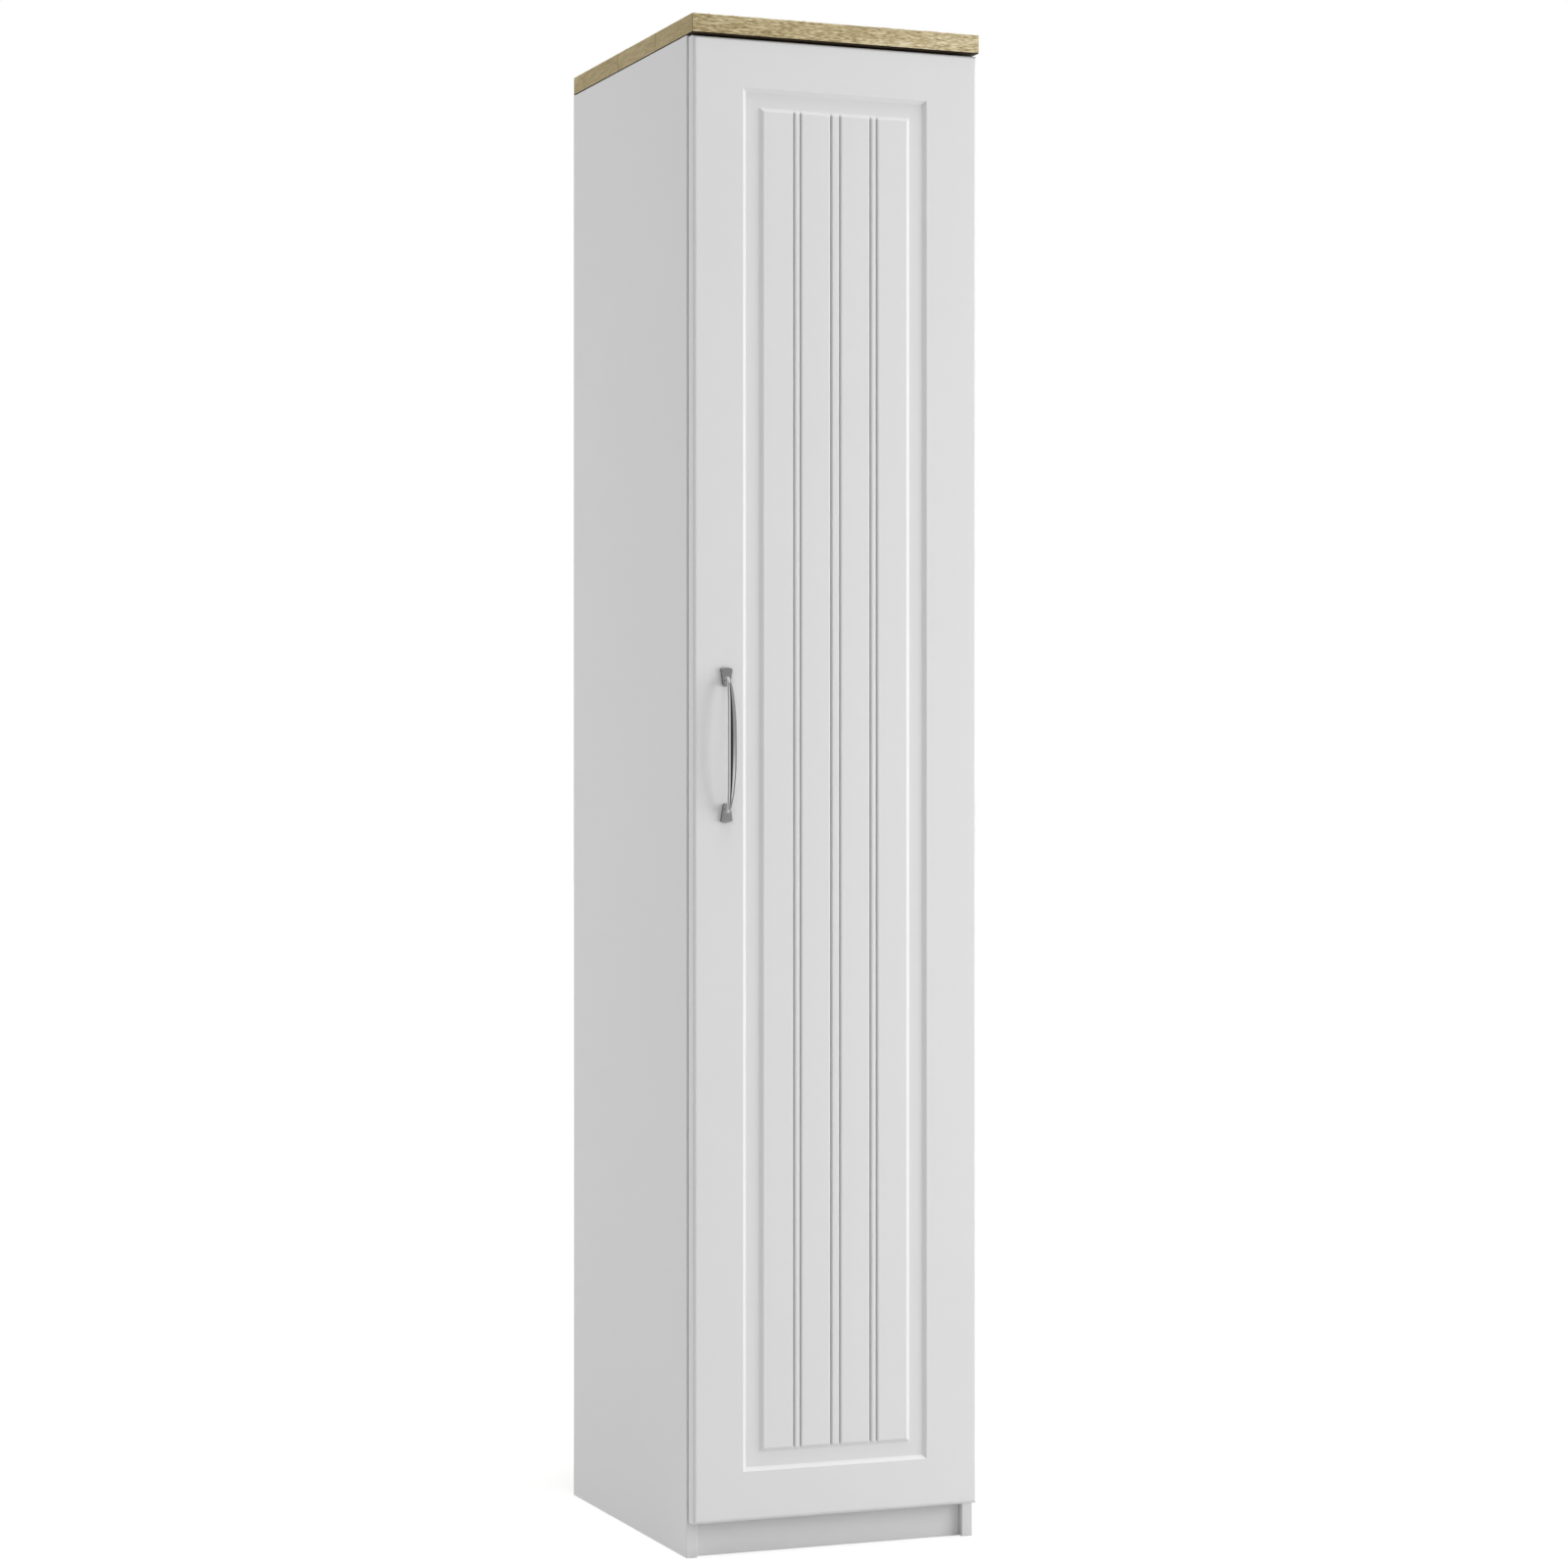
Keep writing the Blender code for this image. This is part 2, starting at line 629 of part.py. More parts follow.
# Door and the clear pads that it closes on
place("door", door_mesh(), white_foil, carrier=door_axis)
buffer_x = -(INNER + HALF) / 2
buffer_height = DOOR_GAP - 2 * FIT
buffer_profile = [
    (0, buffer_height),
    (BUFFER_TOP_RADIUS, buffer_height),
    (BUFFER_RADIUS, buffer_height / 2),
    (BUFFER_RADIUS, 0),
    (0, 0),
]
buffer = mesh_of(turned(buffer_profile, BUFFER_SIDES), "door_buffer")
for level, z in (("lower", DOOR_BOTTOM + BUFFER_FROM_END), ("upper", DOOR_TOP - BUFFER_FROM_END)):
    seat = (buffer_x, DOOR_BACK + FIT, z)
    place(f"door_buffer_{level}", buffer, clear_pad, seat, FACING_BACK, door_axis)


def pad_outline(inset):
    """A foot of the handle in outline: a fan with a curved end and a round neck, drawn in by the inset."""
    tip = HANDLE_HALF - PAD_CROWN - inset
    neck = HANDLE_HALF - PAD_LENGTH + inset
    wide = PAD_WIDTH / 2 - inset
    narrow = PAD_NECK_WIDTH / 2 - inset
    radius = (wide**2 + PAD_CROWN**2) / (2 * PAD_CROWN)
    swing = math.degrees(math.asin(wide / radius))
    crown = arc((0, tip + PAD_CROWN - radius), radius, 90 - swing, 90 + swing, PAD_STEPS)
    return crown + arc((0, neck + narrow), narrow, 180, 360, PAD_STEPS)


def handle_pad(sign):
    """One fan-shaped foot of the handle, flat on the door; the sign is -1 below and 1 above."""
    levels = ((0, 0), (0, PAD_EDGE), (PAD_CHAMFER, PAD_THICKNESS))
    rings = []
    for inset, level in levels:
        rings.append([(a, -level, sign * b) for a, b in pad_outline(inset)])
    return loft(rings)


def handle_bow():
    """The arched grip, an oval that swells to the middle, along a squared-off arch.

    The arch rises as (1 - t**n) ** (1 / n) of its height, with t the share of its half span.
    """
    half_span = HANDLE_HALF - PAD_LENGTH / 2
    rise = HANDLE_REACH - 2 * FIT - BOW_DEPTH / 2
    power = BOW_SQUARENESS
    rings = []
    for i in range(BOW_STATIONS):
        swing = math.pi * i / (BOW_STATIONS - 1)
        along, up = math.cos(swing), math.sin(swing)
        z = half_span * math.copysign(abs(along) ** (2 / power), along)
        out = rise * up ** (2 / power) + FIT
        outward = -half_span * up ** (2 - 2 / power)
        endward = rise * math.copysign(abs(along) ** (2 - 2 / power), along)
        normal = Vector((0, outward, endward)).normalized()
        wide = (BOW_END_WIDTH + (BOW_WIDTH - BOW_END_WIDTH) * up**2) / 2
        deep = (BOW_END_DEPTH + (BOW_DEPTH - BOW_END_DEPTH) * up) / 2
        ring = []
        for k in range(BOW_SIDES):
            turn = math.tau * k / BOW_SIDES
            ring.append(
                Vector((wide * math.cos(turn), -out, z)) + normal * (deep * math.sin(turn))
            )
        rings.append(ring)
    return loft(rings)


def handle_mesh():
    """Both feet and the bow as one casting, tapped from behind for its screws."""
    taps = bmesh.new()
    for sign in (-1, 1):
        z = sign * HANDLE_CENTRES / 2
        depth = HANDLE_SCREW_GRIP + FIT
        add_cylinder(taps, MACHINE_SCREW_SHANK + FIT, (0, CUT_PAST, z), (0, -depth, z))
    return shaped("handle", handle_pad(1), joined=(handle_bow(), handle_pad(-1)), removed=(taps,))


# Handle, bolted through the door
handle_seat = (HANDLE_X, DOOR_FACE - FIT, HANDLE_HEIGHT)
place("handle", handle_mesh(), chrome, handle_seat, carrier=door_axis)
handle_screw_length = DOOR_THICKNESS + 2 * FIT + HANDLE_SCREW_GRIP
handle_screw = mesh_of(turned(pan_headed(handle_screw_length), SCREW_SIDES), "handle_screw")
for level, sign in (("lower", -1), ("upper", 1)):
    seat = (HANDLE_X, DOOR_BACK + FIT, HANDLE_HEIGHT + sign * HANDLE_CENTRES / 2)
    place(f"handle_screw_{level}", handle_screw, zinc, seat, FACING_BACK, door_axis)


def hinge_cup_mesh():
    """A drilled-in cup with two screw ears and a slot that the arm swings in, seen from its pin."""
    floor = LEAF_BACK - CUP_DEPTH
    body = cylinder(
        CUP_RADIUS - FIT, (CUP_X, floor, 0), (CUP_X, LEAF_BACK + FIT + CUP_FLANGE / 2, 0), ROUND_SIDES
    )
    ear_x = CUP_X - CUP_SCREW_OFFSET
    flange = eared_plate(
        [
            (CUP_X, 0, CUP_RIM_RADIUS),
            (ear_x, -CUP_SCREW_SPREAD, CUP_EAR_RADIUS),
            (ear_x, CUP_SCREW_SPREAD, CUP_EAR_RADIUS),
        ],
        LEAF_BACK + FIT,
        FLANGE_TOP,
        lambda a, b, level: (a, level, b),
    )
    half_slot = STRAP_WIDTH / 2 + STRAP_PLAY
    slot = box(
        (WEB_OUTER - STRAP_BEND, floor + CUP_FLOOR, -half_slot),
        (EYE_RADIUS + FIT, FLANGE_TOP + CUT_PAST, half_slot),
    )
    pin_hole = cylinder(PIN_RADIUS + FIT, (0, 0, -CUP_RADIUS), (0, 0, CUP_RADIUS))
    holes = [
        screw_hole(FACING_BACK, (ear_x, FLANGE_TOP, spread))
        for spread in (-CUP_SCREW_SPREAD, CUP_SCREW_SPREAD)
    ]
    return shaped("hinge_cup", body, joined=(flange,), removed=(slot, pin_hole, *holes))


def clamp_bore():
    """The hole through arm and spine for the clamp screw, seen from the pin."""
    start = (WEB_OUTER - CUT_PAST, CLAMP_Y, 0)
    end = (WALL + CUT_PAST, CLAMP_Y, 0)
    return cylinder(MACHINE_SCREW_SHANK + FIT, start, end)


def hinge_arm_mesh():
    """The fixed arm, seen from the pin: an eye, a strap bent out of the cup, and a channel."""
    low = -EYE_RADIUS
    high = low + STRAP_THICKNESS
    bend = (WEB_INNER + STRAP_BEND, high + STRAP_BEND)
    channel_front = WALL_FRONT + ARM_SETBACK
    strap_end = channel_front + STRAP_THICKNESS
    meets = math.degrees(math.asin(high / EYE_RADIUS))
    outline = arc((0, 0), EYE_RADIUS, -90, 180 - meets, EYE_STEPS)
    outline += arc(bend, STRAP_BEND, -90, -180, BEND_STEPS)
    outline += [(WEB_INNER, strap_end), (WEB_OUTER, strap_end)]
    outline += arc(bend, STRAP_BEND + STRAP_THICKNESS, -180, -90, BEND_STEPS)
    half_strap = STRAP_WIDTH / 2
    strap = loft([[(a, b, z) for a, b in outline] for z in (-half_strap, half_strap)])
    half_arm = ARM_WIDTH / 2
    channel_rear = channel_front + ARM_LENGTH
    channel = eased_box(
        (WEB_OUTER, channel_front, -half_arm),
        (WEB_OUTER + ARM_DEPTH, channel_rear, half_arm),
        EDGE_EASE,
    )
    hollow = box(
        (WEB_INNER, channel_front + ARM_WALL, ARM_WALL - half_arm),
        (WALL + CUT_PAST, channel_rear + CUT_PAST, half_arm - ARM_WALL),
    )
    eye = cylinder(PIN_RADIUS + FIT / 2, (0, 0, -CUT_PAST), (0, 0, CUT_PAST))
    clamp_hole = clamp_bore()
    return shaped("hinge_arm", channel, joined=(strap,), removed=(hollow, eye, clamp_hole))


def hinge_plate_mesh():
    """The mounting plate, seen from the pin: two screw ears and the spine that the arm clamps on."""
    ears = eared_plate(
        [
            (PLATE_Y, -PLATE_SCREW_SPREAD, PLATE_EAR_RADIUS),
            (PLATE_Y, PLATE_SCREW_SPREAD, PLATE_EAR_RADIUS),
        ],
        PLATE_TOP,
        WALL - FIT,
        lambda a, b, level: (level, a, b),
    )
    half_spine = ARM_WIDTH / 2 - ARM_WALL - FIT
    spine_front = PLATE_Y - SPINE_LENGTH / 2
    spine = eased_box(
        (WEB_INNER + FIT, spine_front, -half_spine),
        (WALL - FIT, spine_front + SPINE_LENGTH, half_spine),
        EDGE_EASE,
    )
    clamp_hole = clamp_bore()
    holes = [
        screw_hole(FACING_LEFT, (PLATE_TOP, PLATE_Y, spread))
        for spread in (-PLATE_SCREW_SPREAD, PLATE_SCREW_SPREAD)
    ]
    return shaped("hinge_plate", spine, joined=(ears,), removed=(clamp_hole, *holes))


# Hinges, from the lowest up: cup, pin and cup screws go with the door, the rest stays on the side
cup = hinge_cup_mesh()
arm = hinge_arm_mesh()
plate = hinge_plate_mesh()
pin = mesh_of(
    cylinder(PIN_RADIUS, (0, 0, -PIN_HALF), (0, 0, PIN_HALF), SCREW_SIDES), "hinge_pin"
)
clamp_screw = mesh_of(turned(pan_headed(CLAMP_SCREW_LENGTH), SCREW_SIDES), "clamp_screw")
for number, z in enumerate(hinge_heights, 1):
    at_pin = Vector((PIN_X, PIN_Y, z))
    place(f"hinge_{number}_cup", cup, nickelled, at_pin, carrier=door_axis)
    place(f"hinge_{number}_pin", pin, zinc, at_pin, carrier=door_axis)
    place(f"hinge_{number}_arm", arm, nickelled, at_pin)
    place(f"hinge_{number}_plate", plate, nickelled, at_pin)
    clamp_seat = at_pin + Vector((WEB_OUTER - FIT, CLAMP_Y, 0))
    place(f"hinge_{number}_clamp_screw", clamp_screw, zinc, clamp_seat, FACING_LEFT)
    for level, sign in (("lower", -1), ("upper", 1)):
        cup_seat = at_pin + Vector((CUP_X - CUP_SCREW_OFFSET, FLANGE_TOP, sign * CUP_SCREW_SPREAD))
        place(f"hinge_{number}_cup_screw_{level}", wood_screw, zinc, cup_seat, FACING_BACK, door_axis)
        plate_seat = at_pin + Vector((PLATE_TOP, PLATE_Y, sign * PLATE_SCREW_SPREAD))
        place(f"hinge_{number}_plate_screw_{level}", wood_screw, zinc, plate_seat, FACING_LEFT)
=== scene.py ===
"""Looks of a tall single-door wardrobe: white boards under an oak top, with one routed door.

The sections follow the way it is put together. Metres; X to the right, Y to the back, Z up.
"""

import math

import bmesh
import bpy
import numpy as np
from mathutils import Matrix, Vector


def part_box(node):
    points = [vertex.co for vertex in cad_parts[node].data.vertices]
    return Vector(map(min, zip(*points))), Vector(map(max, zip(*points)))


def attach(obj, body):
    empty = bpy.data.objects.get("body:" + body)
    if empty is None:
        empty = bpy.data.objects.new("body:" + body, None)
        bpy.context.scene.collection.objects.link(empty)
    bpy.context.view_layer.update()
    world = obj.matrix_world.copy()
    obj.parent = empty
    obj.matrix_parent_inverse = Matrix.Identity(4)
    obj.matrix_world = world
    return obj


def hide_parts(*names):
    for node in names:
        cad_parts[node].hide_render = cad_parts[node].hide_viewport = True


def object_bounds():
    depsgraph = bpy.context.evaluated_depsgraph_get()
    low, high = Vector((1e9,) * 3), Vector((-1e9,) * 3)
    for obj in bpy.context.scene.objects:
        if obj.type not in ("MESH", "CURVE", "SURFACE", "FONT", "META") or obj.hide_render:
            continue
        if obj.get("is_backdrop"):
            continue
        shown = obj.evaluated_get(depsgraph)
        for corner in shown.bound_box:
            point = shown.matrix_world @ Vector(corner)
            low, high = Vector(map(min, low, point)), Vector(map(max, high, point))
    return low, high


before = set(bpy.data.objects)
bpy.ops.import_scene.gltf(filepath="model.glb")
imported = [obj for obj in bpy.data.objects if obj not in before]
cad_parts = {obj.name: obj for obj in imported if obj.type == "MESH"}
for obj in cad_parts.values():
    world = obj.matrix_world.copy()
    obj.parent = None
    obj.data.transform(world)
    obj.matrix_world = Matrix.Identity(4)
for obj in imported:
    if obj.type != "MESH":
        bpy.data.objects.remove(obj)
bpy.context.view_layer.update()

# Carcass boards: two sides, base, hat shelf, kickboard and rear rail, sawn from 15 mm chipboard with a white
# melamine face. The edges that show are banded; the rear edges and feet of the sides stay raw.
MELAMINE = (0.81, 0.81, 0.81)
CHIP_DARK = (0.30, 0.20, 0.11)
CHIP_LIGHT = (0.62, 0.48, 0.32)
CHIPS_PER_METRE = 420
EDGE_FACING = 0.9
NOISE_MIDDLE = 0.5
MOTTLE_DETAIL = 3.0


def wire(tree, kind, inputs=None, **settings):
    """Adds a node of this kind; each input takes a plain value, or the socket that feeds it."""
    made = tree.nodes.new(kind)
    for name, value in settings.items():
        setattr(made, name, value)
    for name, value in (inputs or {}).items():
        if isinstance(value, bpy.types.NodeSocket):
            tree.links.new(value, made.inputs[name])
        else:
            made.inputs[name].default_value = value
    return made


def maths(tree, operation, *values):
    """The result of a Math node on these values or sockets."""
    return wire(tree, "ShaderNodeMath", dict(enumerate(values)), operation=operation).outputs[0]


def mixed(tree, share, first, second):
    """A colour that goes from the first to the second as the share goes from 0 to 1."""
    inputs = {"Factor": share, 6: first, 7: second}
    return wire(tree, "ShaderNodeMix", inputs, data_type="RGBA").outputs[2]


def noise(tree, vector, scale, detail=2.0):
    """Soft noise around 0.5, with this many waves per unit of the vector."""
    inputs = {"Vector": vector, "Scale": scale, "Detail": detail}
    return wire(tree, "ShaderNodeTexNoise", inputs).outputs["Fac"]


def opaque(colour):
    """A colour with full cover."""
    return (*colour, 1.0)


def variation_group():
    """The unevenness of a made surface, as a node group.

    Color is the colour times 1 + amount * (slow noise - 0.5). Roughness is the roughness plus
    spread * (fine noise - 0.5), and Height is the fine noise.
    """
    group = bpy.data.node_groups.new("surface_variation", "ShaderNodeTree")
    for name, kind in (
        ("Vector", "NodeSocketVector"),
        ("Color", "NodeSocketColor"),
        ("Mottle Scale", "NodeSocketFloat"),
        ("Mottle Amount", "NodeSocketFloat"),
        ("Grain Scale", "NodeSocketFloat"),
        ("Roughness", "NodeSocketFloat"),
        ("Roughness Spread", "NodeSocketFloat"),
    ):
        group.interface.new_socket(name, in_out="INPUT", socket_type=kind)
    for name, kind in (
        ("Color", "NodeSocketColor"),
        ("Roughness", "NodeSocketFloat"),
        ("Height", "NodeSocketFloat"),
    ):
        group.interface.new_socket(name, in_out="OUTPUT", socket_type=kind)
    given = wire(group, "NodeGroupInput").outputs
    slow = noise(group, given["Vector"], given["Mottle Scale"], MOTTLE_DETAIL)
    slow = maths(group, "SUBTRACT", slow, NOISE_MIDDLE)
    fine = noise(group, given["Vector"], given["Grain Scale"])
    tone = maths(group, "MULTIPLY_ADD", slow, given["Mottle Amount"], 1.0)
    colour = wire(group, "ShaderNodeVectorMath", {0: given["Color"], "Scale": tone}, operation="SCALE")
    uneven = maths(group, "SUBTRACT", fine, NOISE_MIDDLE)
    rough = maths(group, "MULTIPLY_ADD", uneven, given["Roughness Spread"], given["Roughness"])
    wire(group, "NodeGroupOutput", {"Color": colour.outputs[0], "Roughness": rough, "Height": fine})
    return group


surface_variation = variation_group()


def new_material(name):
    """An empty finish: its node tree, its shader and the place on the piece in metres."""
    material = bpy.data.materials.new(name)
    material.use_nodes = True
    tree = material.node_tree
    return material, tree, tree.nodes["Principled BSDF"], wire(tree, "ShaderNodeTexCoord").outputs["Object"]


def varied(tree, vector, colour, mottle_scale, mottle_amount, grain_scale, roughness, spread):
    """The variation group placed in a material, with this surface's own values."""
    inputs = {
        "Vector": vector,
        "Color": colour,
        "Mottle Scale": mottle_scale,
        "Mottle Amount": mottle_amount,
        "Grain Scale": grain_scale,
        "Roughness": roughness,
        "Roughness Spread": spread,
    }
    return wire(tree, "ShaderNodeGroup", inputs, node_tree=surface_variation).outputs


def connect(tree, shader, height, depth, **sockets):
    """Feeds the shader's inputs, and its normal from a bump of this height and depth."""
    bump = wire(tree, "ShaderNodeBump", {"Height": height, "Distance": depth})
    tree.links.new(bump.outputs[0], shader.inputs["Normal"])
    for name, socket in sockets.items():
        tree.links.new(socket, shader.inputs[name.replace("_", " ").title()])


def facing_mask(tree, axis, sign, least=EDGE_FACING):
    """1 where the face's normal reaches at least so far along this way of the axis, and else 0."""
    normal = wire(tree, "ShaderNodeNewGeometry").outputs["True Normal"]
    part = wire(tree, "ShaderNodeSeparateXYZ", {0: normal}).outputs[axis]
    return maths(tree, "GREATER_THAN", maths(tree, "MULTIPLY", part, sign), least)


def melamine(name, raw_edges):
    """White melamine with a faint pearl; raw chipboard on the rear and lower edges where asked for."""
    material, tree, shader, place = new_material(name)
    white = varied(
        tree, place, opaque(MELAMINE),
        mottle_scale=7.0, mottle_amount=0.02, grain_scale=1300.0, roughness=0.45, spread=0.10,
    )
    colour = white["Color"]
    if raw_edges:
        cells = wire(tree, "ShaderNodeTexVoronoi", {"Vector": place, "Scale": CHIPS_PER_METRE})
        tone = wire(tree, "ShaderNodeSeparateColor", {0: cells.outputs["Color"]}).outputs[0]
        chips = mixed(tree, tone, opaque(CHIP_DARK), opaque(CHIP_LIGHT))
        raw = maths(tree, "MAXIMUM", facing_mask(tree, "Y", 1), facing_mask(tree, "Z", -1))
        colour = mixed(tree, raw, colour, chips)
    connect(tree, shader, white["Height"], depth=0.00002, base_color=colour, roughness=white["Roughness"])
    return material


def coat(names, material):
    """Gives CAD nodes that keep their shape a finish."""
    for name in names:
        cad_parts[name].material_slots[0].material = material


coat(("left_side", "right_side"), melamine("white_board_raw_edges", raw_edges=True))
coat(("base_board", "hat_shelf", "kickboard", "rear_rail"), melamine("white_board", raw_edges=False))

# Back panel: one 3 mm sheet of hardboard in the grooves of the sides. Its inner face is lacquered white, and
# its rear face is the bare brown board with the print of the press wire.
LACQUER = (0.80, 0.80, 0.79)
HARDBOARD_DARK = (0.17, 0.10, 0.055)
HARDBOARD_LIGHT = (0.33, 0.215, 0.125)
FIBRES_PER_METRE = 260
FIBRE_DETAIL = 6.0
FIBRE_TONE = 0.85
WIRES_PER_METRE = 380
WIRE_TONE = 0.12
BARE_ROUGHER = 0.3


def hardboard():
    """Lacquer inside; outside, fibres in two brown tones under a fine woven print."""
    material, tree, shader, place = new_material("hardboard")
    fibres = noise(tree, place, FIBRES_PER_METRE, FIBRE_DETAIL)
    weave = wire(tree, "ShaderNodeTexChecker", {"Vector": place, "Scale": WIRES_PER_METRE}).outputs["Fac"]
    tone = maths(tree, "MULTIPLY_ADD", weave, WIRE_TONE, maths(tree, "MULTIPLY", fibres, FIBRE_TONE))
    brown = mixed(tree, tone, opaque(HARDBOARD_DARK), opaque(HARDBOARD_LIGHT))
    white = varied(
        tree, place, opaque(LACQUER),
        mottle_scale=5.0, mottle_amount=0.03, grain_scale=900.0, roughness=0.5, spread=0.12,
    )
    rear = facing_mask(tree, "Y", 1)
    colour = mixed(tree, rear, white["Color"], brown)
    rough = maths(tree, "MULTIPLY_ADD", rear, BARE_ROUGHER, white["Roughness"])
    connect(tree, shader, fibres, depth=0.00003, base_color=colour, roughness=rough)
    return material


coat(("back_panel",), hardboard())

# Oak top: a 25 mm board in an oak finish, its staves running from side to side, with small rounded edges.
# It lies on the sides and stands forward over the door.
TOP_ROUNDING = 0.0015
TOP_STEPS = 5
STAVE_SEAM = -0.0867
STAVE_WIDTH = 0.1497
STAVE_SHARE = 0.06
LAST_SEAM = 0.15
SEAM_HALF_WIDTH = 0.0012
SEAM_STRENGTH = 0.8
GAPS_PER_METRE = 130
GAP_BELOW = 0.47
FIGURE_WAVES = (5.0, 45.0, 45.0)
FIGURE_SHARE = 0.30
STREAK_WAVES = (26.0, 420.0, 420.0)
STREAK_SHARE = 0.55
DASH_WAVES = (120.0, 760.0, 760.0)
DASH_SHARE = 1.60
END_DASH_SHARE = 0.35
DASH_GLOSS = 0.2
OAK_FIBRE_WAVES = (35.0, 2300.0, 2300.0)
OAK_FIBRE_SHARE = 0.60
# Painted light: the oak is paler towards the right, where the key light stands
PAINTED_LIGHT_PER_METRE = 0.60
TONE_SCALE = 0.50
TONE_BASE = 0.12
# Painted highlight: broken pale patches on the upper round edge
EDGE_HIGHLIGHT_WAVES = (90.0, 200.0, 1.0)
EDGE_HIGHLIGHT_ABOVE = 0.45
OAK_STOPS = (0.28, 0.49, 0.72)
OAK_DARK = (0.27, 0.20, 0.095)
OAK_MIDDLE = (0.59, 0.483, 0.268)
OAK_LIGHT = (0.94, 0.85, 0.62)
# Painted highlight of the upper round edge
PAINTED_EDGE_HIGHLIGHT = (0.90, 0.84, 0.70)
# Painted shade: the underside dark brown, its lower round edge near black
UNDERSIDE_PAINTED_SHADE = (0.08, 0.058, 0.038)
PAINTED_SHADOW_LINE = (0.02, 0.016, 0.012)
OAK_ROUGHNESS = 0.66
OAK_SPECULAR = 0.08
ROUND_EDGE = 0.3
END_FACING = 0.6
FLAT_FACING = 0.99
FLAT_WEIGHT = 90
MERGE = 0.000001
SMOOTH_ANGLE = math.radians(35)


def smooth(mesh):
    """Smooth shading, but for the sharp edges."""
    mesh.shade_smooth()
    mesh.set_sharp_from_angle(angle=SMOOTH_ANGLE)


def add_object(name, data):
    """A new object in the scene, at the origin."""
    made = bpy.data.objects.new(name, data)
    bpy.context.scene.collection.objects.link(made)
    return made


def mesh_piece(name, points, faces):
    """A closed mesh of these points, doubles merged, faces outwards, smooth but for its sharp edges."""
    mesh = bpy.data.meshes.new(name)
    mesh.from_pydata(points.tolist(), [], faces)
    form = bmesh.new()
    form.from_mesh(mesh)
    bmesh.ops.remove_doubles(form, verts=form.verts, dist=MERGE)
    bmesh.ops.recalc_face_normals(form, faces=form.faces)
    form.to_mesh(mesh)
    form.free()
    smooth(mesh)
    return add_object(name, mesh)


def skin(name, rings, looped=False):
    """One closed surface over a stack of closed rings, an array of rows x columns x 3.

    Point m of ring k joins point m + 1 and ring k + 1. The end rings are filled, or joined to each other
    where the stack is looped. Points that coincide, as at a pole, become one.
    """
    rows, columns = rings.shape[:2]
    here = np.arange(rows * columns).reshape(rows, columns)
    above = np.roll(here, -1, axis=0)
    last = rows if looped else rows - 1
    lower, upper = here[:last], above[:last]
    quads = np.stack([lower, np.roll(lower, -1, 1), np.roll(upper, -1, 1), upper], axis=-1)
    ends = [] if looped else [here[0, ::-1].tolist(), here[-1].tolist()]
    return mesh_piece(name, rings.reshape(-1, 3), quads.reshape(-1, 4).tolist() + ends)


def rounded_block(name, low, high, radius, steps):
    """A block with round edges: p = centre + sign(n) * (half - radius) + radius * n, n on the unit sphere.

    Each eighth of the sphere sits in its own corner of the block, so flat faces open between them.
    """
    centre, half = (low + high) / 2, (high - low) / 2
    quarter = np.linspace(0, math.pi / 2, steps + 1)
    turn = np.concatenate([quarter + math.pi / 2 * k for k in range(4)])
    lift = np.concatenate([quarter - math.pi / 2, quarter])
    corner = np.repeat([[1, 1], [-1, 1], [-1, -1], [1, -1]], steps + 1, axis=0)
    level = np.repeat([-1, 1], steps + 1)
    normal = np.stack(np.broadcast_arrays(
        np.cos(lift)[:, None] * np.cos(turn),
        np.cos(lift)[:, None] * np.sin(turn),
        np.sin(lift)[:, None],
    ), axis=-1)
    sign = np.stack(np.broadcast_arrays(corner[:, 0], corner[:, 1], level[:, None]), axis=-1)
    return skin(name, centre + sign * (half - radius) + radius * normal)


def even_shading(piece):
    """Large flat faces keep their own normal beside small round ones."""
    weigh = piece.modifiers.new("even_shading", "WEIGHTED_NORMAL")
    weigh.keep_sharp = True
    weigh.weight = FLAT_WEIGHT


def corners(node):
    """The lowest and highest corner of a CAD node, as arrays."""
    return [np.array(corner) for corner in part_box(node)]


